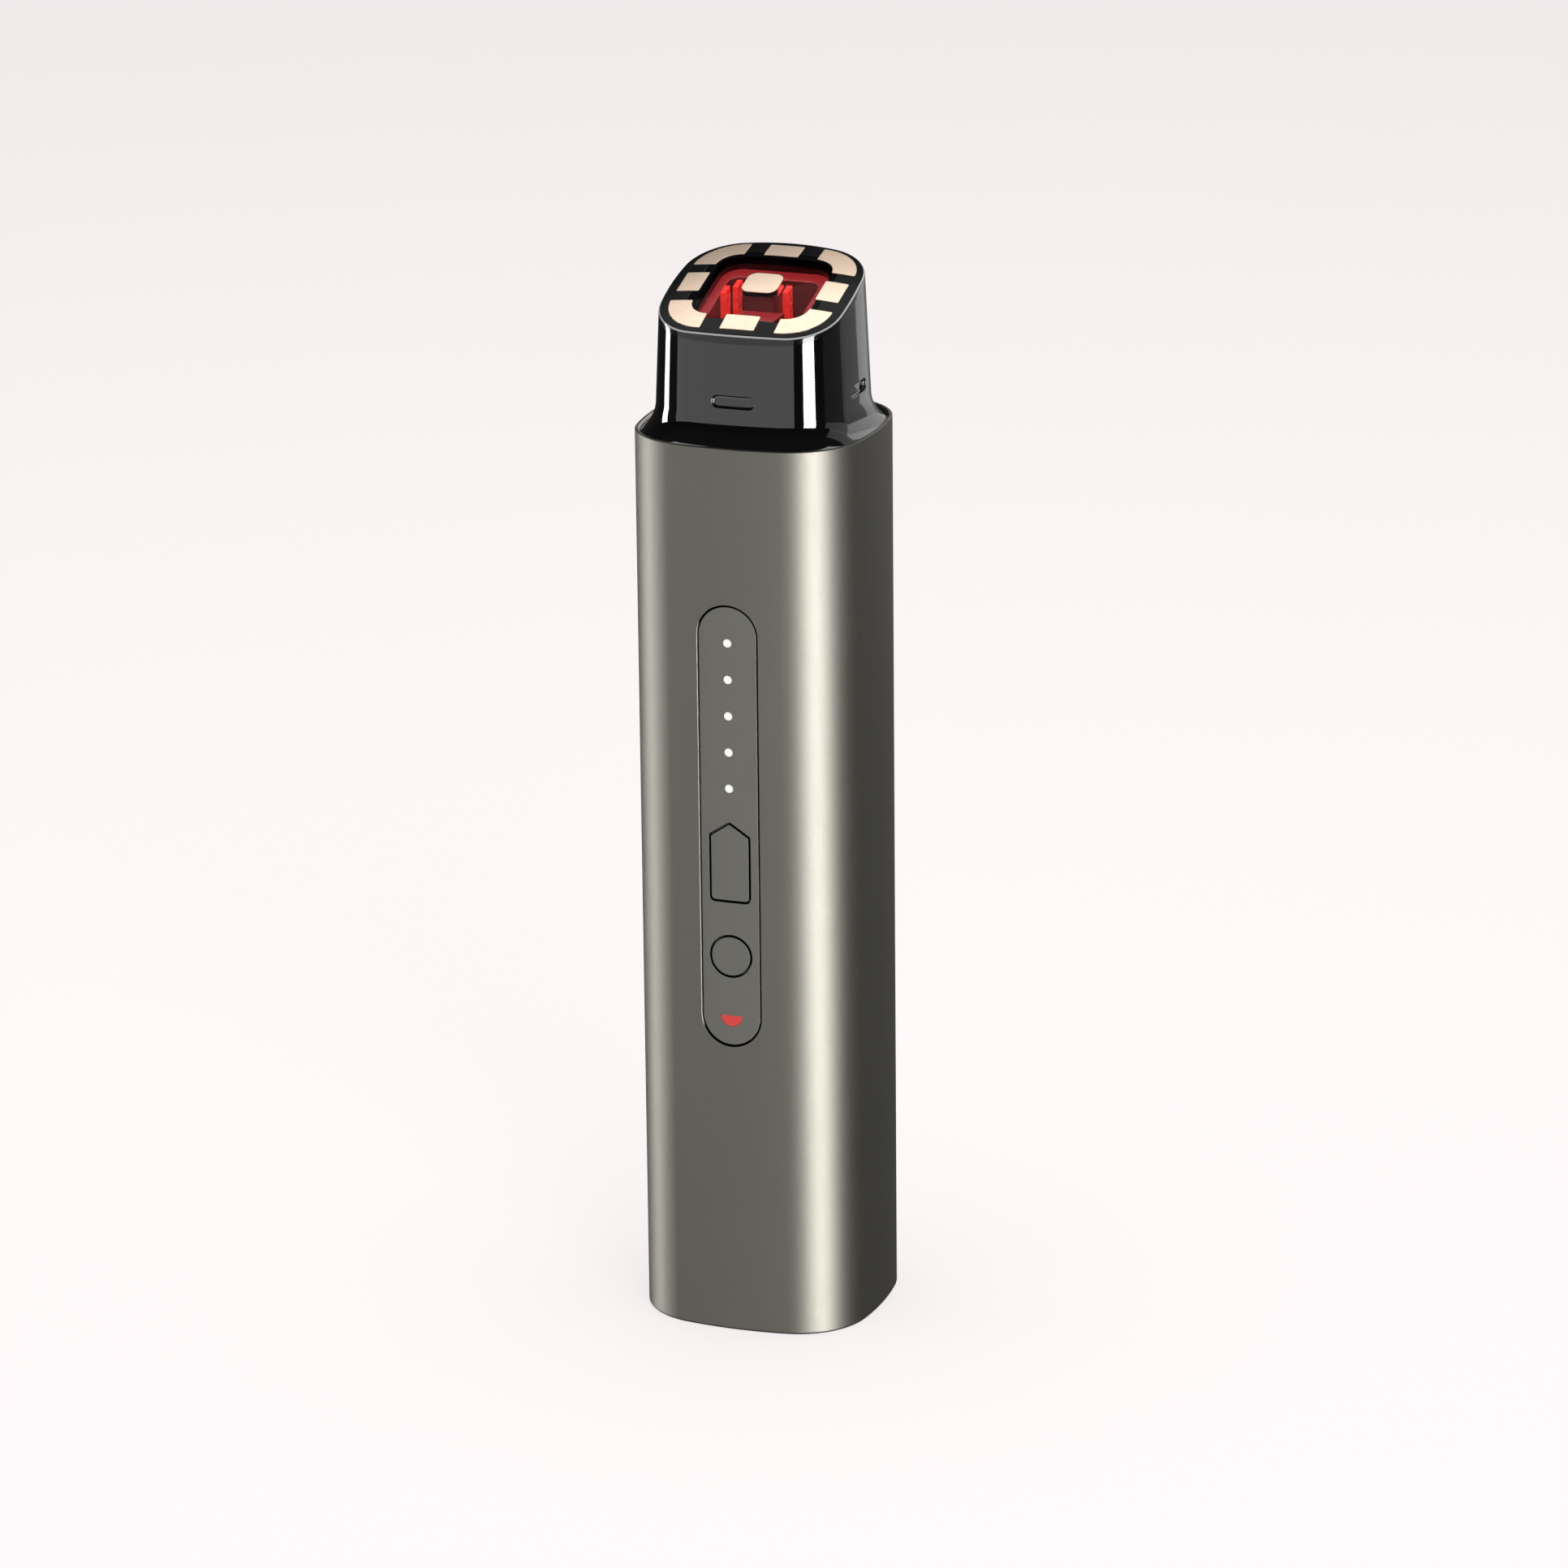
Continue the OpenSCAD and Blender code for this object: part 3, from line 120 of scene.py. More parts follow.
def on_section(q, s):
    """Points and outward directions at the places q round a section: 0 is the middle of the front, 3 of the
    right, 12 is a turn"""
    q = np.mod(np.asarray(q, float), 12)
    a, b, sr, cr = s[0] / 2, s[1] / 2, s[2], s[3]
    cx, cy, a0, a1 = arcs(s)
    k = np.floor(q / 3).astype(int)
    r = q - 3 * k
    r = np.where(k % 2 == 0, r, 3 - r)
    corner = a0 + (a1 - a0) * (r - 1)
    t = np.where(r < 1, -np.pi / 2 + (a0 + np.pi / 2) * r, np.where(r < 2, corner, a1 - a1 * (r - 2)))
    ox = np.where(r < 1, 0, np.where(r < 2, cx, a - sr))
    oy = np.where(r < 1, sr - b, np.where(r < 2, cy, 0))
    rad = np.where((r >= 1) & (r < 2), cr, sr)
    sx = np.where(k < 2, 1, -1)
    sy = np.where((k == 0) | (k == 3), 1, -1)
    point = np.stack([sx * (ox + rad * np.cos(t)), sy * (oy + rad * np.sin(t))], -1)
    return point, np.stack([sx * np.cos(t), sy * np.sin(t)], -1)


def section_lengths(s):
    """Arc length from the middle of the front to each place 0 to 12"""
    _, _, a0, a1 = arcs(s)
    quarter = [s[2] * (a0 + np.pi / 2), s[3] * (a1 - a0), -s[2] * a1]
    return np.concatenate([[0], np.cumsum(quarter + quarter[::-1] + quarter + quarter[::-1])])


def place_at(arc, s):
    lengths = section_lengths(s)
    return np.interp(np.mod(arc, lengths[-1]), lengths, np.arange(13))


def ring_places(side_steps, corner_steps):
    """Places round a section, finer in the corners"""
    quarter = list(np.arange(side_steps) / side_steps) + list(1 + np.arange(corner_steps) / corner_steps)
    quarter += list(2 + np.arange(side_steps) / side_steps)
    out = []
    for k in range(4):
        run = np.array(quarter) if k % 2 == 0 else 3 - np.array(quarter + [3.0])[:0:-1]
        out += list(3 * k + run)
    return np.array(out)


def sleeve_section(inset):
    return np.array([BODY_W - 2 * inset, BODY_D - 2 * inset, SIDE_ARC - inset, CORNER_R - inset])


def head_section(z):
    k = (FACE_Z - np.asarray(z, float)) * DRAFT
    return [FACE_W + 2 * k, FACE_D + 2 * k, SIDE_ARC + 0 * k, FACE_R + k]


# ---------- The face's own frame: u across, v up the slope, w out of the skin side ----------

def from_face(u, v, w):
    y, z = v * math.cos(TILT) - w * math.sin(TILT), FACE_Z + v * math.sin(TILT) + w * math.cos(TILT)
    return np.stack([u, y, z], -1)


def to_face(p):
    y, z = p[..., 1], p[..., 2] - FACE_Z
    return p[..., 0], y * math.cos(TILT) + z * math.sin(TILT), z * math.cos(TILT) - y * math.sin(TILT)


def dome(u, v):
    return DOME_RISE - DOME_R + np.sqrt(DOME_R ** 2 - u * u - v * v)


def from_dome(u, v, w=0.0):
    """Points at height w from the skin"""
    return from_face(u, v, dome(u, v) + w)


DOME_AT = from_face(np.array(0.0), np.array(0.0), np.array(DOME_RISE - DOME_R))


def dome_z(x, y):
    return DOME_AT[2] + np.sqrt(DOME_R ** 2 - (x - DOME_AT[0]) ** 2 - (y - DOME_AT[1]) ** 2)


def dome_normal(p):
    n = p - DOME_AT
    return n / np.linalg.norm(n, axis=-1, keepdims=True)


def wall_at(q, w):
    """Where the head's wall meets the plane at w along the face's normal, at the places q"""
    z = np.full(np.shape(q), FACE_Z)
    for _ in range(8):
        xy, _n = on_section(q, head_section(z))
        z = FACE_Z + xy[..., 1] * math.tan(TILT) + w / math.cos(TILT)
    xy, _n = on_section(q, head_section(z))
    return np.concatenate([xy, z[..., None]], -1)


# ---------- Meshes ----------

def put_in(name, data):
    """Puts a mesh, a lamp or a camera into the scene"""
    obj = bpy.data.objects.new(name, data)
    bpy.context.scene.collection.objects.link(obj)
    return obj


def add_object(name, points, faces):
    mesh = bpy.data.meshes.new(name)
    mesh.from_pydata((np.asarray(points, float) * MM).tolist(), [], faces)
    return put_in(name, mesh)


def drop(obj):
    mesh = obj.data
    bpy.data.objects.remove(obj)
    bpy.data.meshes.remove(mesh)


def apply_modifiers(obj):
    graph = bpy.context.evaluated_depsgraph_get()
    shown = obj.evaluated_get(graph)
    mesh = bpy.data.meshes.new_from_object(shown, preserve_all_data_layers=True, depsgraph=graph)
    old = obj.data
    obj.modifiers.clear()
    obj.data = mesh
    bpy.data.meshes.remove(old)


def combine(obj, others, operation="DIFFERENCE"):
    """Cuts the others from obj, or joins them to it"""
    for other in others:
        m = obj.modifiers.new("combine", "BOOLEAN")
        m.operation, m.object, m.solver = operation, other, "EXACT"
    apply_modifiers(obj)
    for other in others:
        drop(other)
    return obj


def edit(obj, change):
    """Lets the function change work on the mesh of obj"""
    bm = bmesh.new()
    bm.from_mesh(obj.data)
    change(bm)
    bm.to_mesh(obj.data)
    bm.free()


def join(name, objs):
    bm = bmesh.new()
    for obj in objs:
        bm.from_mesh(obj.data)
        drop(obj)
    mesh = bpy.data.meshes.new(name)
    bm.to_mesh(mesh)
    bm.free()
    return put_in(name, mesh)


def read(items, name, width=1, kind=np.float32):
    """One property of all the points, corners or faces of a mesh"""
    values = np.empty(len(items) * width, kind)
    items.foreach_get(name, values)
    return values.reshape(-1, width) if width > 1 else values


def coords(obj):
    return read(obj.data.vertices, "co", 3, float) / MM


def move_points(obj, points):
    obj.data.vertices.foreach_set("co", (points * MM).ravel())
    obj.data.update()


def slice_up(obj, axis, values):
    """Cuts the faces along planes across one axis, values in millimetres"""
    normal = Vector([float(axis == k) for k in range(3)])

    def cut(bm):
        for value in values:
            bmesh.ops.bisect_plane(bm, geom=bm.verts[:] + bm.edges[:] + bm.faces[:], dist=1e-8,
                                   plane_co=normal * float(value) * MM, plane_no=normal)
    edit(obj, cut)


def slice_grid(obj, axes, pitch, clear=0.02):
    """Cuts the faces at every pitch across the axes, clear of both ends, and gives the points"""
    for axis in axes:
        at = coords(obj)[:, axis]
        low, high = at.min(), at.max()
        lines = np.arange(math.ceil(low / pitch) * pitch, high, pitch)
        slice_up(obj, axis, lines[(lines > low + clear) & (lines < high - clear)])
    return coords(obj)


def loft(name, rows, closed=False):
    """Skins a stack of rings, counter-clockwise from outside their end; closed joins the last to the first"""
    rows = np.asarray(rows, float)
    m, n = rows.shape[:2]
    faces = []
    for k in range(m if closed else m - 1):
        for i in range(n):
            j, up = (i + 1) % n, (k + 1) % m
            faces.append((k * n + i, k * n + j, up * n + j, up * n + i))
    if not closed:
        faces += [tuple(range(n))[::-1], tuple((m - 1) * n + i for i in range(n))]
    return add_object(name, rows.reshape(-1, 3), faces)


def shade(obj, known=None, sharp=32, reach=26):
    """Smooth shading with sharp edges; known gives a vertex's exact direction, or zeros"""
    mesh = obj.data
    mesh.shade_smooth()
    mesh.set_sharp_from_angle(angle=math.radians(sharp))
    if known is None:
        return obj
    normals = read(mesh.corner_normals, "vector", 3)
    corners = read(mesh.polygons, "loop_total", kind=np.int32)
    face = np.repeat(read(mesh.polygons, "normal", 3), corners, axis=0)
    wanted = known[read(mesh.loops, "vertex_index", kind=np.int32)]
    good = (wanted * face).sum(1) > math.cos(math.radians(reach))
    normals[good] = wanted[good]
    mesh.normals_split_custom_set(normals.tolist())
    return obj


# ---------- Flat outlines, counter-clockwise ----------

def grown(outline, by):
    """An outline moved outwards, or inwards where by is negative"""
    p = np.asarray(outline, float)
    e = np.roll(p, -1, 0) - p
    e /= np.linalg.norm(e, axis=1, keepdims=True)
    n = np.stack([e[:, 1], -e[:, 0]], 1)
    before = np.roll(n, 1, 0)
    return p + by * (n + before) / (1 + (n * before).sum(1, keepdims=True))


def rounded(corners, radii, steps=6):
    """A polygon with rounded corners"""
    out = []
    count = len(corners)
    for i in range(count):
        p, a, b = (np.array(corners[k % count], float) for k in (i, i - 1, i + 1))
        r = radii[i] if hasattr(radii, "__len__") else radii
        if r < 1e-6:
            out.append(p)
            continue
        da, db = (a - p) / np.linalg.norm(a - p), (b - p) / np.linalg.norm(b - p)
        half = math.acos(max(-1, min(1, float(da @ db)))) / 2
        reach = r / math.tan(half)
        mid = p + (da + db) / np.linalg.norm(da + db) * r / math.sin(half)
        s, e = p + da * reach - mid, p + db * reach - mid
        turn = math.atan2(s[0] * e[1] - s[1] * e[0], float(s @ e))
        for t in (turn * k / steps for k in range(steps + 1)):
            c, d = math.cos(t), math.sin(t)
            out.append(mid + np.array([s[0] * c - s[1] * d, s[0] * d + s[1] * c]))
    return np.array(out)


def box_outline(w, l, r, at=(0, 0), steps=8):
    c = np.array([[-w / 2, -l / 2], [w / 2, -l / 2], [w / 2, l / 2], [-w / 2, l / 2]])
    return rounded(c, r, steps) + np.array(at, float)


def circle_outline(r, at=(0, 0), steps=48):
    t = np.arange(steps) * 2 * math.pi / steps
    return np.stack([np.cos(t), np.sin(t)], 1) * r + np.array(at, float)


def stadium_outline(w, l, at=(0, 0), steps=24):
    """An upright slot with round ends"""
    t = np.linspace(0, math.pi, steps + 1)
    top = np.stack([np.cos(t) * w / 2, np.sin(t) * w / 2 + (l - w) / 2], 1)
    return np.concatenate([top, -top]) + np.array(at, float)


def quarter_turn(steps):
    return np.linspace(0, math.pi / 2, steps + 1)


def edge_rows(top, r, steps=4, inward=1):
    """Growth and height of a rounded edge whose flat lies at top, from its foot up"""
    return [(-inward * r * (1 - math.cos(t)), top - r + r * math.sin(t)) for t in quarter_turn(steps)]


def at_height(outline, z):
    return np.column_stack([outline, np.broadcast_to(z, len(outline))])


def prism(name, outline, rows):
    """A solid over an outline: rows are (growth, height) from its back to its front"""
    outline = np.asarray(outline, float)
    rings = [(grown(outline, grow) if abs(grow) > 1e-9 else outline, z) for grow, z in rows]
    return loft(name, [at_height(ring, z) for ring, z in rings])


def mouth(outline, top, r, depth):
    """A cutter for an opening with a rounded lip at height top"""
    rows = [(0, top - depth)] + (edge_rows(top - 1e-3, r, 4, -1) if r else [])
    return prism("cutter", outline, rows + [(r, top + 1)])


# ---------- Nodes and masks of the finishes ----------

def add(tree, kind, inputs=None, **settings):
    """Adds a node: its own settings, and inputs that are values or the sockets that feed them"""
    node = tree.nodes.new(kind)
    for name, value in settings.items():
        setattr(node, name, value)
    for socket, value in (inputs or {}).items():
        if isinstance(value, bpy.types.NodeSocket):
            tree.links.new(value, node.inputs[socket])
        else:
            node.inputs[socket].default_value = value
    return node


def empty_material(name):
    mat = bpy.data.materials.new(name)
    mat.use_nodes = True
    mat.node_tree.nodes.clear()
    return mat, mat.node_tree


def mixed(tree, mask, a, b, kind="RGBA"):
    """Goes from a to b where the mask is 1: colours, or numbers where kind is FLOAT"""
    return add(tree, "ShaderNodeMix", {"Factor": mask, "A": a, "B": b}, data_type=kind).outputs["Result"]


def spread(tree, value, span, to):
    """Spreads the values of one span over another"""
    ends = dict(zip(("From Min", "From Max", "To Min", "To Max"), (*span, *to)))
    return add(tree, "ShaderNodeMapRange", {"Value": value, **ends}).outputs["Result"]


def sum_up(tree, operation, *values):
    return add(tree, "ShaderNodeMath", dict(enumerate(values)), operation=operation).outputs[0]


def vectors(tree, operation, a, b, result="Value"):
    return add(tree, "ShaderNodeVectorMath", {0: a, 1: b}, operation=operation).outputs[result]


RIGHT, FRONT, TOP = (1.0, 0.0, 0.0), (0.0, -1.0, 0.0), (0.0, 0.0, 1.0)
UPHILL, SKINWARD = (0.0, math.cos(TILT), math.sin(TILT)), (0.0, -math.sin(TILT), math.cos(TILT))


def place_to(tree, where, way):
    """How far a place lies one way"""
    return vectors(tree, "DOT_PRODUCT", where.outputs["Object"], way)


def facing(tree, where, way):
    """How much a face looks one way: 1 straight, -1 straight away"""
    return vectors(tree, "DOT_PRODUCT", where.outputs["Normal"], way)


def dome_reach(tree, where):
    """Distance from the middle of the dome's sphere"""
    return vectors(tree, "DISTANCE", where.outputs["Object"], tuple(float(c) * MM for c in DOME_AT))


def painted_rim_highlight_mask(tree, where):
    """The sleeve's inner chamfer, with a painted highlight: just under the rim, on the side that faces the
    middle
    """
    near = sum_up(tree, "COMPARE", place_to(tree, where, TOP), (BODY_H - 0.21) * MM, 0.2 * MM)
    flat = vectors(tree, "MULTIPLY", where.outputs["Object"], (1, 1, 0), "Vector")
    outward = vectors(tree, "DOT_PRODUCT", flat, where.outputs["Normal"])
    return sum_up(tree, "MULTIPLY", near, sum_up(tree, "LESS_THAN", outward, -1e-4))


def skin_edge_mask(tree, where):
    """The face plate's rounded edge, where it falls away under the dome"""
    return sum_up(tree, "LESS_THAN", dome_reach(tree, where), (DOME_R - 0.02) * MM)


def painted_skin_highlight_mask(tree, where):
    """A painted highlight: a fine light line along the upper part of that edge"""
    return sum_up(tree, "COMPARE", dome_reach(tree, where), (DOME_R - 0.13) * MM, 0.09 * MM)


def border_mask(tree, where):
    """The window's printed border round its clear rounded opening, widest at the back and the left"""
    slope = vectors(tree, "SUBTRACT", where.outputs["Object"], (0.0, 0.0, FACE_Z * MM), "Vector")
    over = []
    for way, low, high in ((RIGHT, -WELL_W / 2, WELL_W / 2 + 1), (UPHILL, -WINDOW_L / 2, WELL_L / 2)):
        place = sum_up(tree, "SUBTRACT", vectors(tree, "DOT_PRODUCT", slope, way), (low + high) / 2 * MM)
        side = sum_up(tree, "SUBTRACT", sum_up(tree, "ABSOLUTE", place), ((high - low) / 2 - WELL_R) * MM)
        over.append(sum_up(tree, "POWER", sum_up(tree, "MAXIMUM", side, 0.0), 2.0))
    return sum_up(tree, "GREATER_THAN", sum_up(tree, "ADD", *over), (WELL_R * MM) ** 2)


def painted_gap_shade_mask(tree, where):
    """Painted shade in the control panel's gaps: edges near the middle that turn away from front and back go
    black; the panel's left edge, where light falls, is left out and stays bright"""
    near = sum_up(tree, "COMPARE", place_to(tree, where, RIGHT), 0.3 * MM, (PANEL_W / 2 - 0.05) * MM)
    level = sum_up(tree, "COMPARE", place_to(tree, where, TOP), PANEL_Z * MM, (PANEL_L / 2 + 0.25) * MM)
    turned_away = sum_up(tree, "LESS_THAN", sum_up(tree, "ABSOLUTE", facing(tree, where, FRONT)), 0.9)
    return sum_up(tree, "MULTIPLY", sum_up(tree, "MULTIPLY", near, level), turned_away)


def painted_side_shade_mask(tree, where):
    """Faces that stand across the face's slope, where shade is painted on as a dark colour"""
    return sum_up(tree, "LESS_THAN", facing(tree, where, SKINWARD), 0.5)


def painted_top_light_mask(tree, where):
    """Faces that look up, where the painted light glows stronger"""
    return sum_up(tree, "GREATER_THAN", facing(tree, where, TOP), 0.6)


# ---------- Finishes ----------

# Black for print, and for painted shade
INK_AND_SHADE = (0.004, 0.004, 0.0045, 1)
finishes = {}


def finish(slot, colour, shade_colour=None, metallic=0.0, rough=(0.4, 0.5), grain=900.0, bump=0.1, depth=0.01,
           ior=1.5, coat_rough=0.1, glow=None, glow_strength=0.0, transmission=0.0, cloud=60.0, specular=0.5,
           stretch=(1, 1, 1), painted_edge_mask=None, painted_edge_colour=None, gloss=None, painted_glow_mask=None, print_and_shade_mask=None):
    """A finish with clouded colour, varied roughness and fine grain; grain and cloud are in cells per metre,
    depth in mm. Masks: the edge mask paints a highlight or a shade on in its colour and smooths it, gloss
    lays a clear coat, the glow mask paints light as a stronger glow, and black covers print and painted shade"""
    mat, tree = empty_material(slot)
    where = tree.nodes.new("ShaderNodeTexCoord")
    mapping = add(tree, "ShaderNodeMapping", {"Vector": where.outputs["Object"], "Scale": stretch})
    clouds, fine = (add(tree, "ShaderNodeTexNoise", {"Vector": mapping.outputs["Vector"], "Scale": scale,
                                                     "Detail": detail}).outputs["Fac"]
                    for scale, detail in ((cloud, 4), (grain, 3)))
    dark = shade_colour or [c * 0.88 for c in colour]
    skin = {"Base Color": mixed(tree, clouds, (*dark, 1), (*colour, 1)),
            "Roughness": spread(tree, fine, (0.3, 0.7), rough),
            "Metallic": metallic, "IOR": ior, "Coat Weight": 0.0, "Coat Roughness": coat_rough,
            "Transmission Weight": transmission, "Specular IOR Level": specular}
    # Painted highlight or painted shade: the masked edge takes its given colour and half the roughness
    if painted_edge_mask:
        mask = painted_edge_mask(tree, where)
        skin["Base Color"] = mixed(tree, mask, skin["Base Color"], (*painted_edge_colour, 1))
        skin["Roughness"] = mixed(tree, mask, skin["Roughness"], rough[0] * 0.5, "FLOAT")
    # Black for print, and for painted shade in gaps; glass turns opaque under it
    if print_and_shade_mask:
        mask = print_and_shade_mask(tree, where)
        skin["Base Color"] = mixed(tree, mask, skin["Base Color"], INK_AND_SHADE)
        if transmission:
            skin["Transmission Weight"] = sum_up(tree, "SUBTRACT", 1.0, mask)
    if bump:
        relief = add(tree, "ShaderNodeBump", {"Strength": bump, "Distance": depth * MM, "Height": fine})
        skin["Normal"] = relief.outputs["Normal"]
    if glow:
        skin["Emission Color"], skin["Emission Strength"] = (*glow, 1), glow_strength
    # Painted light: the glow is a tenth as strong outside the mask
    if painted_glow_mask:
        unlit = glow_strength * 0.1
        skin["Emission Strength"] = spread(tree, painted_glow_mask(tree, where), (0, 1), (unlit, glow_strength))
    if gloss:
        skin["Coat Weight"] = gloss(tree, where)
    shader = add(tree, "ShaderNodeBsdfPrincipled", skin)
    add(tree, "ShaderNodeOutputMaterial", {"Surface": shader.outputs["BSDF"]})
    finishes[slot] = mat


# Slot, colour, darker colour, metallic, roughness from and to, grain, and the bump's strength and depth
# The sleeve's inner chamfer gets a painted highlight, and the panel's gaps get painted shade in black
finish("sleeve_metal", (0.157, 0.152, 0.133), (0.145, 0.140, 0.122), 1.0, (0.49, 0.55), 2600, 0.08, 0.004,
       cloud=45, painted_edge_mask=painted_rim_highlight_mask, painted_edge_colour=(0.2983, 0.2888, 0.2527), print_and_shade_mask=painted_gap_shade_mask)
# The panel's gap edges are painted black as shade
finish("panel_metal", (0.178, 0.175, 0.159), (0.166, 0.163, 0.148), 1.0, (0.49, 0.55), 2600, 0.08, 0.004,
       print_and_shade_mask=painted_gap_shade_mask)
finish("base_plastic", (0.060, 0.060, 0.057), (0.050, 0.050, 0.047), 0.0, (0.5, 0.62), 2400, 0.2)
finish("frame_plastic", (0.045, 0.047, 0.050), None, 0.0, (0.45, 0.6), 1500, 0.2)
finish("head_gloss", (0.0032, 0.0032, 0.0034), (0.0026, 0.0026, 0.0028), 0.0, (0.03, 0.06), 500, 0.0, ior=1.7)
# A painted highlight: a fine light grey line round the top of the face plate's edge
finish("face_black", (0.006, 0.006, 0.0065), (0.0045, 0.0045, 0.005), 0.0, (0.2, 0.28), 500, 0.0,
       specular=0.05, coat_rough=0.04, gloss=skin_edge_mask, painted_edge_mask=painted_skin_highlight_mask, painted_edge_colour=(0.50, 0.50, 0.51))
# The electrodes' sides are painted dark as shade
finish("rose_gold", (0.93, 0.73, 0.57), (0.88, 0.68, 0.52), 1.0, (0.34, 0.42), 1800, 0.12, 0.004, cloud=200,
       painted_edge_mask=painted_side_shade_mask, painted_edge_colour=(0.03, 0.012, 0.01))
finish("red_window", (1.0, 0.62, 0.60), (1.0, 0.58, 0.56), 0.0, (0.0, 0.02), 500, 0.0, ior=1.06,
       transmission=1.0, print_and_shade_mask=border_mask)
# Painted light: the red plastic glows as if lit, stronger on faces that look up
finish("red_plastic", (0.05, 0.008, 0.010), (0.035, 0.005, 0.008), 0.0, (0.25, 0.4), 700, cloud=160,
       glow=(0.32, 0.022, 0.03), glow_strength=0.75, painted_glow_mask=painted_top_light_mask)
finish("light_plastic", (0.86, 0.86, 0.82), None, 0.0, (0.25, 0.4), 900, 0.05, glow=(1, 0.98, 0.94),
       glow_strength=0.55)
finish("red_lens", (0.52, 0.035, 0.03), None, 0.0, (0.2, 0.35), 900, 0.05, glow=(0.75, 0.03, 0.02),
       glow_strength=0.45)
finish("black_rubber", (0.02, 0.02, 0.02), None, 0.0, (0.6, 0.75), 1500, 0.3, 0.02)
finish("circuit_board", (0.012, 0.10, 0.045), (0.01, 0.07, 0.035), 0.0, (0.3, 0.45), 700, cloud=300)
finish("white_board", (0.78, 0.77, 0.73), None, 0.0, (0.35, 0.5), 700)
finish("flex", (0.55, 0.23, 0.04), (0.42, 0.16, 0.03), 0.0, (0.25, 0.4), 700, stretch=(4, 1, 1))
finish("lead_sheath", (0.35, 0.02, 0.02), None, 0.0, (0.45, 0.6))
finish("steel", (0.56, 0.55, 0.53), (0.48, 0.47, 0.45), 1.0, (0.22, 0.34), 2200, 0.1, 0.004)
finish("gold_pins", (0.86, 0.62, 0.28), None, 1.0, (0.2, 0.3), 2200, 0.05, 0.004)
finish("ferrite", (0.05, 0.05, 0.052), None, 0.0, (0.5, 0.65), 1500, 0.3, 0.02)
finish("copper_wire", (0.62, 0.25, 0.10), (0.5, 0.18, 0.07), 1.0, (0.25, 0.35), 900, 0.2, 0.02,
       stretch=(1, 6, 1))
finish("chip_black", (0.02, 0.02, 0.022), None, 0.0, (0.4, 0.55), 2200, 0.15)
finish("capacitor_can", (0.015, 0.03, 0.12), None, 0.0, (0.25, 0.35), 900, 0.05)
finish("cell_wrap", (0.02, 0.09, 0.36), (0.015, 0.07, 0.3), 0.0, (0.3, 0.42), 700, 0.08)
finish("nickel", (0.62, 0.59, 0.53), None, 1.0, (0.2, 0.3), 2000, 0.05, 0.004)

slots = {part["node"]: part["material_slot"] for part in frame["record"]["subparts"]}
for name, slot in slots.items():
    node = frame["nodes"][name]
    node.data.materials.clear()
    node.data.materials.append(finishes[slot])


def keep(obj, node, body="wand"):
    """Gives a finished piece its node's finish and its body, and lets it stand for the node"""
    slot = slots[node]
    obj.data.materials.clear()
    obj.data.materials.append(finishes[slot])
    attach(obj, body)
    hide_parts(node)
    return obj


# ---------- Sleeve: a flat sheet with its opening, rolled round its section ----------

SEAM = 7.5
LIP_R = 0.12


def sheet(name, s, profile):
    """A flat bar of one profile (height, depth), as long as the way round section s from seam to seam"""
    lengths = section_lengths(s)
    start = np.interp(SEAM, np.arange(13), lengths) - lengths[-1]
    rows = [np.column_stack([np.full(len(profile), a), profile]) for a in (start, start + lengths[-1])]
    obj = loft(name, rows)
    edit(obj, lambda bm: bmesh.ops.recalc_face_normals(bm, faces=bm.faces))
    return obj, start, lengths


def make_ready(obj, start, lengths, side_steps, corner_steps, levels=()):
    """Cuts the flat bar at the places round and at the levels, opens its two ends, and gives the points"""
    at = np.interp(ring_places(side_steps, corner_steps), np.arange(13), lengths)
    at = np.where(at > start + lengths[-1], at - lengths[-1], at)
    slice_up(obj, 0, np.unique(np.round(at, 6)))
    slice_up(obj, 1, levels)

    def at_end(v):
        return min(abs(v.co.x / MM - start), abs(v.co.x / MM - start - lengths[-1])) < 1e-3

    def take_ends(bm):
        ends = [f for f in bm.faces if all(at_end(v) for v in f.verts)]
        bmesh.ops.delete(bm, geom=ends, context="FACES_ONLY")
        bmesh.ops.delete(bm, geom=[e for e in bm.edges if not e.link_faces], context="EDGES")
    edit(obj, take_ends)
    return coords(obj)


def finish_round(obj, known, node):
    """Shades the rolled piece, joins the two sides of its seam and keeps it"""
    m = shade(obj, known).modifiers.new("seam", "WELD")
    m.merge_threshold = 1e-3 * MM
    apply_modifiers(obj)
    keep(obj, node)


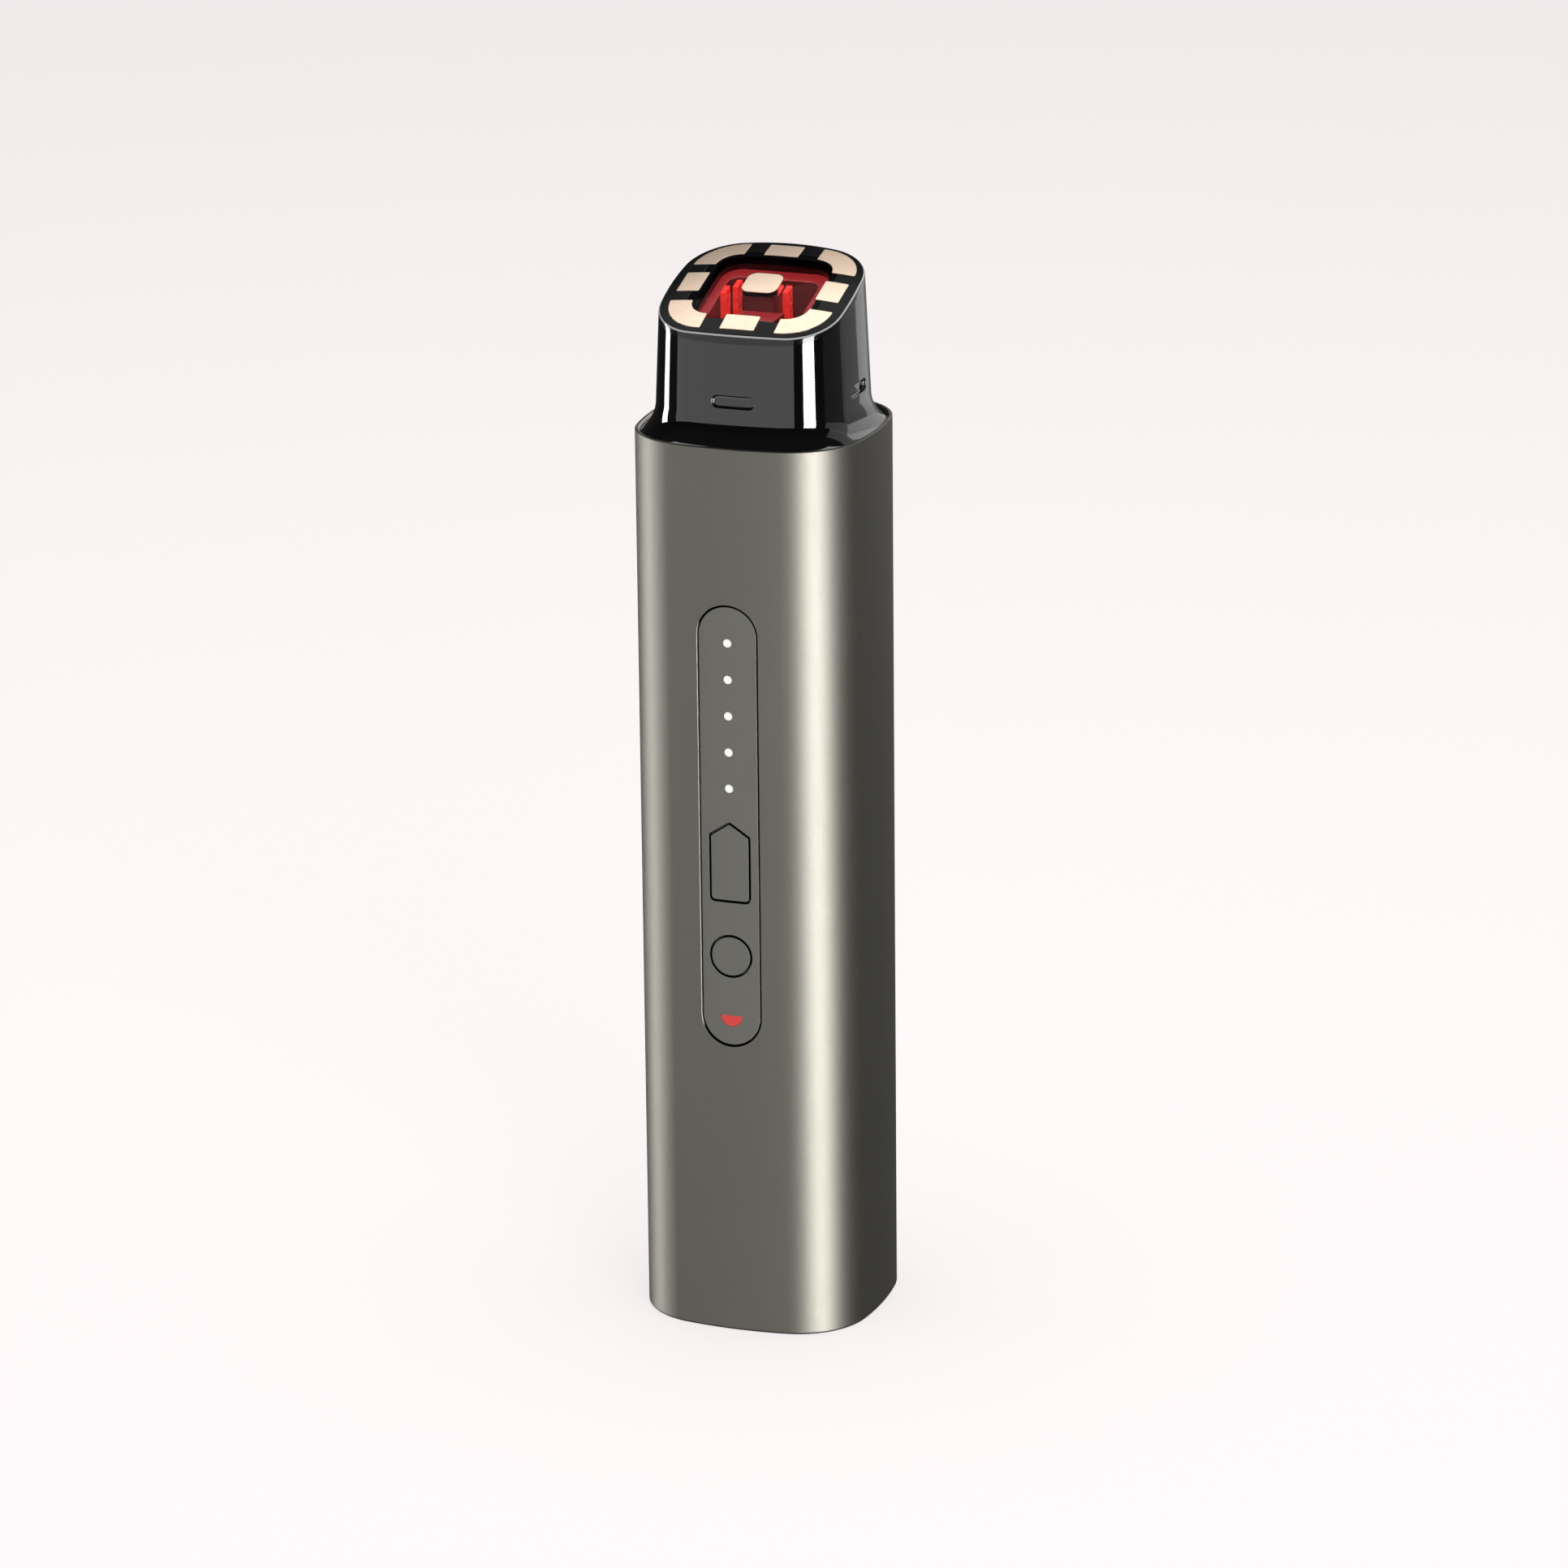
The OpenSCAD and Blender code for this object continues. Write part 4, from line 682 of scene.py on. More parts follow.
def outer_sleeve():
    s = sleeve_section(0)
    foot_r, rim_r, inner_r = 0.45, 0.2, 0.4
    t = quarter_turn(6)

    def corner(z, h, r, turns):
        return [(z + r * math.cos(k), h + r * math.sin(k)) for k in turns]

    chamfer = ((0, 0.55), (0.04, 0.63), (0.36, 0.87), (0.42, RIM_WALL))
    profile = corner(foot_r, -foot_r, foot_r, math.pi - t)
    profile += corner(BODY_H - rim_r, -rim_r, rim_r, math.pi / 2 - t)
    profile += [(BODY_H - down, -deep) for down, deep in chamfer]
    profile += [(BODY_H - RIM_H, -RIM_WALL), (BODY_H - RIM_H, -WALL)]
    profile += corner(inner_r, inner_r - WALL, inner_r, -math.pi / 2 - t)
    obj, start, lengths = sheet("outer_sleeve_shell", s, profile)
    hole = stadium_outline(PANEL_W, PANEL_L, (0, PANEL_Z), 40)
    hole[:, 0] = SIDE_ARC * np.arcsin(hole[:, 0] / SIDE_ARC)
    combine(obj, [mouth(hole, top=0, r=0.18, depth=2.5)])
    flat = make_ready(obj, start, lengths, 10, 28)
    xy, n = on_section(place_at(flat[:, 0], s), s)
    move_points(obj, np.column_stack([xy + n * flat[:, 2:3], flat[:, 1]]))
    known = np.column_stack([n, np.zeros(len(n))])
    known[flat[:, 2] < -1e-4] = 0
    finish_round(obj, known, "outer_sleeve")


# ---------- Panel and buttons ----------

def front_piece(obj, curved_to=0.8, flat_from=1.3):
    """Bends a piece built flat (across, height, height over the front plane) onto the wand's bowed front; the
    bow fades between two depths"""
    flat = slice_grid(obj, [0], 0.5, 0.01)
    x, z, d = flat[:, 0], flat[:, 1], -flat[:, 2]
    r = SIDE_ARC - PANEL_SINK
    away = np.sqrt(r * r - x * x)
    bow = (r - away) * np.clip((flat_from - d) / (flat_from - curved_to), 0, 1)
    move_points(obj, np.column_stack([x, d - BODY_D / 2 + bow, z]))
    known = np.column_stack([x / r, -away / r, np.zeros(len(flat))])
    known[np.abs(d - PANEL_SINK) > 1e-4] = 0
    return shade(obj, known)


def level_outline(inset=0):
    """The level button's pointed outline, in from its opening"""
    half = LEVEL_W / 2
    corners = [(-half, 0), (half, 0), (half, LEVEL_L), (0, LEVEL_L + LEVEL_POINT), (-half, LEVEL_L)]
    sharp = grown(corners, -inset)
    radii = [max(0.06, r - inset) for r in (0.95, 0.95, 0.5, 0.35, 0.5)]
    return rounded(sharp, radii, 8) + np.array([0, LEVEL_Z])


def power_outline(inset=0):
    return circle_outline(POWER_D / 2 - inset, (0, POWER_Z), 72)


def moon_outline(r):
    t = np.linspace(math.pi, 2 * math.pi, 33)
    return np.stack([np.cos(t) * r, np.sin(t) * r + MOON_Z], 1)


def control_panel():
    def slot(inset):
        return stadium_outline(PANEL_W - 2 * inset, PANEL_L - 2 * inset, (0, PANEL_Z), 40)

    top, skin_back = -PANEL_SINK, -PANEL_SINK - PANEL_SKIN
    obj = prism("control_panel_tray", slot(PANEL_GAP), [(0, -SEAT_DEPTH)] + edge_rows(top, 0.2, 5))
    cutters = [prism("cutter", slot(PANEL_GAP + PANEL_WALL), [(0, -SEAT_DEPTH - 1), (0, skin_back)])]
    cutters += [mouth(outline, top, LIP_R, 2) for outline in (level_outline(), power_outline())]
    light_r, heights = LIGHT_D / 2 + INLAY_GAP, [LIGHT_Z + i * LIGHT_PITCH for i in range(LIGHTS)]
    inlays = [moon_outline(MOON_R + INLAY_GAP)] + [circle_outline(light_r, (0, z), 32) for z in heights]
    combine(obj, cutters + [mouth(outline, top, 0, 2) for outline in inlays])
    keep(front_piece(obj), "control_panel")


def button(name, outline, middle, body, node):
    """A push button: cap with a rounded edge, flange behind the panel, plunger on its switch"""
    clear, edge_r, flange_t, flange_edge, stem_r, stem_edge = 0.08, 0.16, 0.8, 0.1, 1.6, 0.15
    back, end = -PANEL_SINK - PANEL_SKIN - clear, SWITCH_H - BOARD_FRONT
    obj = prism(name, outline(BUTTON_GAP), [(0, back - flange_t / 2)] + edge_rows(-PANEL_SINK, edge_r, 5))
    foot = back - flange_t
    flange = prism("flange", outline(-FLANGE), [(-flange_edge, foot - flange_edge), (0, foot), (0, back)])
    stem = circle_outline(stem_r, (0, middle), 40)
    plunger = prism("plunger", stem, [(-stem_edge, end - stem_edge), (0, end), (0, back - 0.5)])
    combine(obj, [flange, plunger], "UNION")
    keep(front_piece(obj), node, body)


outer_sleeve()
control_panel()
button("level_button_cap", level_outline, LEVEL_Z + LEVEL_L / 2, "level_button_body", "level_button")
button("power_button_cap", power_outline, POWER_Z, "power_button_body", "power_button")


# ---------- Head shell: a flat sheet with four notches, rolled round the head ----------

BEND_FROM, BEND_TO = 163.0, 176.0


def head_point(q, b):
    """The head's outside at place q and profile height b: skirt, collar, flare, drafted wall to the seam"""
    q, b = np.broadcast_arrays(np.asarray(q, float), np.asarray(b, float))
    skirt, _ = on_section(q, sleeve_section(WALL + SLIDE_GAP))
    collar, neck = sleeve_section(RIM_WALL + SLIDE_GAP), np.array(head_section(FLARE_TOP), float)
    turn = FLARE_TURN * (1 - np.clip((b - COLLAR_Z) / FLARE_H, 0, 1))
    out = (1 - np.cos(turn)) / (1 - math.cos(FLARE_TURN))
    flare, _ = on_section(q, [neck[k] * (1 - out) + collar[k] * out for k in range(4)])
    top = wall_at(q, RIM_W)[..., 2]
    z_bent = BEND_FROM + (b - BEND_FROM) / (BEND_TO - BEND_FROM) * (top - BEND_FROM)
    z_wall = np.where(b < BEND_FROM, b, z_bent)
    wall, _ = on_section(q, head_section(z_wall))
    xy = np.where((b < STEP_Z - 5e-3)[..., None], skirt, np.where((b < FLARE_TOP)[..., None], flare, wall))
    z_flare = FLARE_TOP - FLARE_H * np.sin(turn) / math.sin(FLARE_TURN)
    z = np.where(b < COLLAR_Z, b, np.where(b < FLARE_TOP, z_flare, z_wall))
    return np.concatenate([xy, z[..., None]], -1)


def head_direction(q, b, step=1e-3):
    across = head_point(q + step, b) - head_point(q - step, b)
    up = head_point(q, b + step) - head_point(q, b - step)
    n = np.cross(across, up)
    return n / np.linalg.norm(n, axis=-1, keepdims=True)


def notch(at):
    """A cutter for a shallow pill with a rounded floor and lip, lying across the sheet"""
    floor_r, lip_r = 0.3, 0.15
    pill = stadium_outline(NOTCH_H, NOTCH_L, (0, 0), 20)[:, ::-1] * np.array([-1, 1])
    pill += np.array([at, NOTCH_Z])
    rows = [(-floor_r * (1 - math.sin(t)), floor_r * (1 - math.cos(t)) - NOTCH_DEEP)
            for t in quarter_turn(6)]
    return prism("cutter", pill, rows + edge_rows(-1e-3, lip_r, 5, -1) + [(lip_r, 1)])


def head_shell():
    s = np.array(head_section(NOTCH_Z), float)
    thick = 2.0
    profile = [(FRAME_TOP, 0), (BEND_TO, 0), (BEND_TO, -thick), (FRAME_TOP, -thick)]
    obj, start, lengths = sheet("head_shell_gloss", s, profile)
    middles = np.interp([0, 3, 6, 9], np.arange(13), lengths)
    combine(obj, [notch(at if at < start + lengths[-1] else at - lengths[-1]) for at in middles])
    levels = [STEP_Z - 0.01, STEP_Z] + [COLLAR_Z + FLARE_H * k / 20 for k in range(21)]
    levels += list(np.linspace(BEND_FROM, BEND_TO, 7)[:-1])
    flat = make_ready(obj, start, lengths, 8, 24, levels)
    q = place_at(flat[:, 0], s)
    _, level = on_section(q, s)
    points = head_point(q, flat[:, 1])
    points[:, :2] += level * flat[:, 2:3]
    rim = flat[:, 1] > BEND_TO - 1e-3
    points[rim, 2] = FACE_Z + points[rim, 1] * math.tan(TILT) + RIM_W / math.cos(TILT)
    move_points(obj, points)
    known = head_direction(q, np.maximum(flat[:, 1], COLLAR_Z + 2e-3))
    known[(flat[:, 2] < -1e-4) | (flat[:, 1] < COLLAR_Z - 1e-3)] = 0
    finish_round(obj, known, "head_shell")


head_shell()


# ---------- Face plate, electrodes and window ----------

def ray_outline(outline, angle):
    """Points of an outline in the given directions from its middle"""
    ends = zip(outline, np.roll(outline, -1, 0))
    dense = np.concatenate([np.linspace(a, b, 20, endpoint=False) for a, b in ends])
    phi, r = np.arctan2(dense[:, 1], dense[:, 0]), np.linalg.norm(dense, axis=1)
    order = np.argsort(phi)
    rr = np.interp(angle, phi[order], r[order], period=2 * math.pi)
    return np.stack([rr * np.cos(angle), rr * np.sin(angle)], -1)


def face_outline(q):
    """The edge where the head's wall meets the dome, in the face's frame"""
    w = np.zeros(np.shape(q))
    for _ in range(6):
        u, v, _w = to_face(wall_at(q, w))
        w = dome(u, v)
    return np.stack([u, v], -1), w


def pads():
    """Outlines of the eight electrodes of the ring"""
    corner_r = 0.22
    mid = np.array([RING_W / 2 - RING_R, RING_L / 2 - RING_R])
    t = quarter_turn(24)
    arc = np.stack([np.cos(t), np.sin(t)], 1)
    quarter = np.concatenate([mid + arc * RING_R, mid + arc[::-1] * (RING_R - BAND)])
    radii = [corner_r if k in (0, 24, 25, 49) else 0.0 for k in range(len(quarter))]
    quarter = rounded(quarter, radii, 4)
    corners = []
    for sx, sy in ((1, 1), (1, -1), (-1, 1), (-1, -1)):
        mirrored = quarter * np.array([sx, sy])
        corners.append(mirrored if sx * sy > 0 else mirrored[::-1])
    sides = [box_outline(PAD_L, BAND, corner_r, (0, s * (RING_L - BAND) / 2), 4) for s in (-1, 1)]
    sides += [box_outline(BAND, PAD_L, corner_r, (s * (RING_W - BAND) / 2, 0), 4) for s in (-1, 1)]
    return corners, sides


def on_dome(obj):
    """Bends a piece built flat in (u, v, height from the skin) onto the dome"""
    move_points(obj, from_dome(*slice_grid(obj, (0, 1), 1.0).T))


def shade_skin(obj, clear=2e-3):
    """Shades what lies on the dome with the dome's own directions"""
    points = coords(obj)
    u, v, w = to_face(points)
    known = dome_normal(points)
    known[np.abs(w - dome(u, v)) > clear] = 0
    return shade(obj, known)


def electrode_group(name, outlines, node):
    obj = join(name, [prism("pad", o, [(0, -PAD_T)] + edge_rows(0, 0.1)) for o in outlines])
    on_dome(obj)
    keep(shade_skin(obj), node)


def pockets(outlines):
    """One cutter for all the pads' pockets, in place on the dome"""
    cutters = [prism("cutter", grown(o, INLAY_GAP), [(0, -PAD_T - INLAY_GAP), (0, 2)]) for o in outlines]
    for cutter in cutters:
        move_points(cutter, from_dome(*coords(cutter).T))
    return join("cutter", cutters)


def one_long(v):
    return v / np.linalg.norm(v, axis=1, keepdims=True)


def face_plate(cut_outlines):
    edge_r, lead_in = 0.38, 0.4
    edge, w_edge = face_outline(ring_places(8, 24))
    angle = np.arctan2(edge[:, 1], edge[:, 0])
    tangent = np.roll(edge, -1, 0) - np.roll(edge, 1, 0)
    inward = np.stack([-tangent[:, 1], tangent[:, 0]], 1) / np.linalg.norm(tangent, axis=1, keepdims=True)
    corner = from_face(*edge.T, w_edge)
    foot = wall_at(ring_places(8, 24), RIM_W)
    down, into = one_long(foot - corner), one_long(from_dome(*(edge + inward * lead_in).T) - corner)
    rows = [foot]
    for t in quarter_turn(7):
        rows.append(corner + edge_r * (1 - math.cos(t)) * into + edge_r * (1 - math.sin(t)) * down)
    u, v, _w = to_face(rows[-1])
    start = np.stack([u, v], 1)
    seat_w, seat_l, seat_r = WINDOW_W + 2 * INLAY_GAP, WINDOW_L + 2 * INLAY_GAP, WINDOW_R + INLAY_GAP
    hole = ray_outline(box_outline(seat_w, seat_l, seat_r, steps=16), angle)
    rows += [from_dome(*(start * (1 - t) + hole * t).T) for t in np.linspace(0, 1, 15)[1:]]
    well = ray_outline(box_outline(WELL_W, WELL_L, WELL_R, steps=16), angle)
    rows += [from_face(*outline.T, dome(*hole.T) - WINDOW_T - INLAY_GAP) for outline in (hole, well)]
    spigot = edge + inward * (LIP + INLAY_GAP)
    rows += [from_face(*well.T, SPIGOT_W), from_face(*spigot.T, SPIGOT_W), from_face(*spigot.T, RIM_W)]
    obj = loft("face_plate_gloss", rows, closed=True)
    combine(obj, [pockets(cut_outlines)])
    keep(shade_skin(obj), "face_plate")


def upright(name, outline, low, high, edge=0.0, pitch=1.0):
    """An upright column whose ends follow the given heights, functions of (x, y)"""
    rows = [(0, 0.0)] + ([(g, 1.0 + h) for g, h in edge_rows(0, edge, 4)] if edge else [(0, 1.0)])
    obj = prism(name, outline, rows)
    x, y, t = slice_grid(obj, (0, 1), pitch).T
    z = np.where(t < 0.5, low(x, y), high(x, y) + (t - 1))
    move_points(obj, np.column_stack([x, y, z]))
    return obj


def level(z):
    """An end that is flat, at height z"""
    return lambda x, y: z + 0 * x


def below_skin(depth, more=0.0):
    """An end that follows the skin, at a depth into it"""
    return lambda x, y: dome_z(x, y) - depth / math.cos(TILT) - more


def centre_outline(grow=0.0):
    return box_outline(CENTRE_W + 2 * grow, CENTRE_D + 2 * grow, CENTRE_R + grow, steps=10)


def centre_electrode():
    obj = upright("centre_electrode_pad", centre_outline(), below_skin(PAD_T), dome_z, 0.1)
    keep(shade_skin(obj), "centre_electrode")


def centre_post():
    obj = upright("centre_post_block", centre_outline(-0.02), level(CUP_FLOOR), below_skin(PAD_T, 0.01))
    keep(shade(obj), "centre_post")


def light_window(cut_outlines):
    outline = box_outline(WINDOW_W, WINDOW_L, WINDOW_R, steps=12)
    obj = prism("light_window_glass", outline, [(0, -WINDOW_T)] + edge_rows(0, 0.06, 3))
    on_dome(obj)
    reach = 8
    hole = upright("cutter", centre_outline(INLAY_GAP), level(FACE_Z - reach), level(FACE_Z + reach))
    combine(obj, [hole, pockets(cut_outlines)])
    keep(shade_skin(obj), "light_window")


def reflector_cup():
    outer = box_outline(2 * CUP_A, 2 * CUP_B, CUP_R, steps=10)
    inner = box_outline(2 * CUP_IN_A, 2 * CUP_IN_B, CUP_R - CUP_WALL, steps=10)
    rim = SPIGOT_W - INLAY_GAP
    rows = [at_height(outer, BOARD_TOP)]
    lip = ((outer, rim), (grown(inner, 0.18), rim), (grown(inner, 0.05), rim - 0.06), (inner, rim - 0.2))
    for outline, w in lip:
        rows.append(at_height(outline, FACE_Z + outline[:, 1] * math.tan(TILT) + w / math.cos(TILT)))
    for inset, h in ((0, 0.4), (0.12, 0.12), (0.4, 0)):
        rows.append(at_height(grown(inner, -inset), CUP_FLOOR + h))
    obj = loft("reflector_cup_red", rows)
    x0, x1 = STEP_ENDS
    y0, y1 = -CUP_B + 1, -CENTRE_D / 2 - INLAY_GAP
    step = prism("step", box_outline(x1 - x0, y1 - y0, 0.25, ((x0 + x1) / 2, (y0 + y1) / 2), 4),
                 [(0, CUP_FLOOR - 0.4)] + edge_rows(CUP_FLOOR + STEP_H, 0.2))
    combine(obj, [step], "UNION")
    side = LED_SIDE + 0.2
    windows = [box_outline(side, side, 0.1, (sx * LED_X, sy * LED_Y), 2) for sx in (-1, 1) for sy in (-1, 1)]
    combine(obj, [prism("cutter", outline, [(0, BOARD_TOP - 1), (0, CUP_FLOOR + 1)]) for outline in windows])
    keep(shade(obj), "reflector_cup")


def light_guides():
    """Clear red bars that carry the light up past the post"""
    bars = [upright("bar", box_outline(GUIDE_W, GUIDE_L, 0.12, place, 4), level(CUP_FLOOR),
                    below_skin(WINDOW_T + 0.3), 0.1, 0.6) for place in GUIDES]
    keep(shade(join("light_guide_bars", bars)), "light_guides")


corner_pads, side_pads = pads()
face_plate(corner_pads + side_pads)
electrode_group("corner_electrode_pads", corner_pads, "corner_electrodes")
electrode_group("side_electrode_pads", side_pads, "side_electrodes")
centre_electrode()
centre_post()
light_window(corner_pads + side_pads)
reflector_cup()
light_guides()


# ---------- Repeated pieces: one unit, set at every place by Geometry Nodes ----------

def in_use(sockets, name=None):
    return next(s for s in sockets if s.enabled and name in (None, s.name))


def unit_group():
    """Node group that sets a unit on every point, turned, sized and spun about its own axis, in one finish"""
    group = bpy.data.node_groups.new("set_units", "GeometryNodeTree")
    kinds = {"Places": "Geometry", "Unit": "Object", "Finish": "Material", "Turn": "Vector", "Spin": "Float",
             "Seed": "Int"}
    for name, kind in kinds.items():
        group.interface.new_socket(name=name, in_out="INPUT", socket_type="NodeSocket" + kind)
    group.interface.new_socket(name="Units", in_out="OUTPUT", socket_type="NodeSocketGeometry")
    given = group.nodes.new("NodeGroupInput").outputs
    piece = add(group, "GeometryNodeObjectInfo", {"Object": given["Unit"]})
    chance = add(group, "FunctionNodeRandomValue", {"Seed": given["Seed"]}, data_type="FLOAT")
    group.links.new(given["Spin"], in_use(chance.inputs, "Max"))
    about = add(group, "ShaderNodeCombineXYZ", {"Z": in_use(chance.outputs)})
    turn, spin = (add(group, "FunctionNodeEulerToRotation", {0: angles}).outputs[0]
                  for angles in (given["Turn"], about.outputs[0]))
    both = add(group, "FunctionNodeRotateRotation", {0: turn, 1: spin}, rotation_space="LOCAL")
    size = add(group, "GeometryNodeInputNamedAttribute", {"Name": "size"}, data_type="FLOAT_VECTOR")
    put = add(group, "GeometryNodeInstanceOnPoints", {
        "Points": given["Places"], "Instance": piece.outputs["Geometry"], "Rotation": both.outputs[0],
        "Scale": in_use(size.outputs)})
    real = add(group, "GeometryNodeRealizeInstances", {0: put.outputs[0]})
    paint = add(group, "GeometryNodeSetMaterial", {"Geometry": real.outputs[0], "Material": given["Finish"]})
    add(group, "NodeGroupOutput", {0: paint.outputs[0]})
    return group


UNIT_GROUP = unit_group()
UP, DOWN, FORWARD, BACKWARD = (0, 0, 0), (math.pi, 0, 0), (math.pi / 2, 0, 0), (-math.pi / 2, 0, 0)


def set_units(name, unit, places, node, turn=UP, sizes=None, spin=0.0, seed=1):
    """One plain mesh of the unit at all the places"""
    obj = add_object(name, places, [])
    sizes = np.ones((len(places), 3)) if sizes is None else np.asarray(sizes)
    stored = obj.data.attributes.new("size", "FLOAT_VECTOR", "POINT").data
    stored.foreach_set("vector", sizes.astype(np.float32).ravel())
    modifier = obj.modifiers.new("set_units", "NODES")
    modifier.node_group = UNIT_GROUP
    values = {"Unit": unit, "Finish": finishes[slots[node]], "Turn": turn, "Spin": spin, "Seed": seed}
    for item in UNIT_GROUP.interface.items_tree:
        if item.in_out == "INPUT" and item.name in values:
            modifier[item.identifier] = values[item.name]
    apply_modifiers(obj)
    drop(unit)
    return obj


def keep_units(name, unit, places, node, *turn, **choices):
    keep(shade(set_units(name, unit, places, node, *turn, **choices)), node)


def solids(node):
    """The separate solids of a node: the points of each, in millimetres"""
    bm = bmesh.new()
    bm.from_mesh(frame["nodes"][node].data)
    bmesh.ops.remove_doubles(bm, verts=bm.verts, dist=1e-4 * MM)
    left, out = set(bm.verts), []
    while left:
        stack, found = [left.pop()], []
        while stack:
            v = stack.pop()
            found.append([c / MM for c in v.co])
            for other in (e.other_vert(v) for e in v.link_edges):
                if other in left:
                    left.remove(other)
                    stack.append(other)
        out.append(np.array(found))
    bm.free()
    return sorted(out, key=lambda p: tuple(np.round(p.min(0), 3)))


def end_middle(p, axis, top=False):
    """Middle of a solid's box at its low end along one axis, or at its high one"""
    low, high = p.min(0), p.max(0)
    middle = (low + high) / 2
    middle[axis] = (high if top else low)[axis]
    return middle


def turned(name, profile, steps=40):
    """A turned solid on its own axis: (radius, height) from the bottom up"""
    ring = circle_outline(1, steps=steps)
    return loft(name, [at_height(ring * r, z) for r, z in profile])


def cross_outline(reach, half):
    quarter = np.array([[half, -half], [reach, -half], [reach, half]])
    turn = np.array([[0, 1], [-1, 0]])
    return np.concatenate([quarter @ np.linalg.matrix_power(turn, k) for k in range(4)])


def screw_unit(r, head_r, head_h, length):
    """A screw with a thread, a rounded head and a cross recess, pointing down from the origin"""
    pitch, root, crest = 0.7 * r, 0.85 * r, r - 0.01
    rows = [(0.5 * r, -length), (0.8 * root, 0.25 * r - length), (root, 0.5 * r - length)]
    z = 0.6 * r - length
    while z + pitch < -head_h - 0.15:
        rows += [(root, z), (root, z + 0.3 * pitch), (crest, z + 0.55 * pitch), (crest, z + 0.7 * pitch)]
        z += pitch
    rows += [(root, -head_h - 0.1), (root, -head_h), (head_r - 0.05, -head_h), (head_r, 0.05 - head_h)]
    rows += [(head_r - 0.45 * head_h * (1 - math.cos(t)), -0.6 * head_h * (1 - math.sin(t)))
             for t in quarter_turn(6)]
    recess = cross_outline(0.52 * head_r, 0.12 * head_r)
    cutter = prism("cutter", recess, [(-0.08 * head_r, -0.6 * head_h), (0, 0.1)])
    return combine(turned("screw_unit", rows), [cutter])


def screws(name, node, size, seed):
    """A set of screws, each where its node has one, with the head on the wider end"""
    places = []
    for p in solids(node):
        axis = int(np.argmax(np.ptp(p, axis=0)))
        low, high = p[:, axis].min(), p[:, axis].max()
        reach = np.linalg.norm(np.delete(p - end_middle(p, axis), axis, 1), axis=1)
        up = bool(reach[p[:, axis] > high - 0.01].max() > reach[p[:, axis] < low + 0.01].max())
        places.append(end_middle(p, axis, up))
    turn = {(2, True): UP, (2, False): DOWN, (1, True): BACKWARD, (1, False): FORWARD}[axis, up]
    unit = screw_unit(*size, float(high - low))
    keep_units(name, unit, places, node, turn, spin=2 * math.pi, seed=seed)


def led_unit(wide, long, tall):
    """A small light: its base with bevelled edges and the raised lens"""
    base = prism("led_unit", box_outline(wide, long, 0.06, steps=2),
                 [(-0.03, 0), (0, 0.03), (0, 0.5 * tall), (-0.04, 0.5 * tall + 0.04)])
    outline = box_outline(0.76 * wide, 0.76 * long, 0.14, steps=4)
    lens = prism("lens", outline, [(0, 0.4 * tall)] + edge_rows(tall, 0.1))
    return combine(base, [lens], "UNION")


def leds(name, node, axis, turn):
    """The small lights of a board, which look along one axis, each on its back face"""
    found = solids(node)
    size = np.ptp(found[0], axis=0)
    unit = led_unit(size[0], size[3 - axis], size[axis])
    places = [end_middle(p, axis, axis == 1) for p in found]
    keep_units(name, unit, places, node, turn)


def capacitors():
    """Wrapped cans with a groove near the foot, a rolled top and a scored cross"""
    found = solids("capacitors")
    wide, long, _high = np.ptp(found[0], axis=0)
    r = wide / 2
    foot = [(0.3, 0), (0.06, 0.06), (0, 0.2), (0, 0.9), (0.16, 1.02), (0.2, 1.15), (0.16, 1.28), (0, 1.4)]
    rolled = [(0, 0.25), (0.08, 0.07), (0.25, 0), (0.4, 0), (0.5, 0.08), (0.6, 0.25)]
    rows = [(r - inset, h) for inset, h in foot] + [(r - inset, long - down) for inset, down in rolled]
    unit = turned("capacitor_unit", rows + [(0.4, long - 0.25)], 64)
    combine(unit, [prism("cutter", cross_outline(0.6 * r, 0.08), [(-0.05, long - 0.36), (0, long + 0.1)])])
    places = [end_middle(p, 1) for p in found]
    keep_units("capacitor_cans", unit, places, "capacitors", BACKWARD, spin=2 * math.pi, seed=5)


def contacts():
    """Spring contacts of different heights and the sockets they stand in"""
    places, sizes = [], []
    for p in solids("contact_pins"):
        z = p[:, 2]
        places.append(end_middle(p, 2))
        sizes.append([1, 1, z[z > (z.min() + z.max()) / 2].min() - z.min()])
    rows = [(0.42, 0), (0.49, 0.015), (0.49, 0.28), (0.43, 0.3), (0.43, 0.34), (0.49, 0.36), (0.49, 0.97),
            (0.45, 0.99), (0.36, 1)]
    pin = turned("pin_unit", rows, 32)
    keep_units("contact_pin_row", pin, places, "contact_pins", sizes=sizes, spin=1.0, seed=3)
    found = solids("contact_sleeves")
    places = [end_middle(p, 2) for p in found]
    h = float(np.ptp(found[0][:, 2]))
    rows = [(0.76, 0), (0.8, 0.04), (0.8, 0.26), (0.72, 0.34), (0.72, h - 0.12), (0.68, h), (0.6, h),
            (0.56, h - 0.06), (0.56, 0.31), (0.5, 0.3)]
    keep_units("contact_socket_row", turned("socket_unit", rows, 32), places, "contact_sleeves")


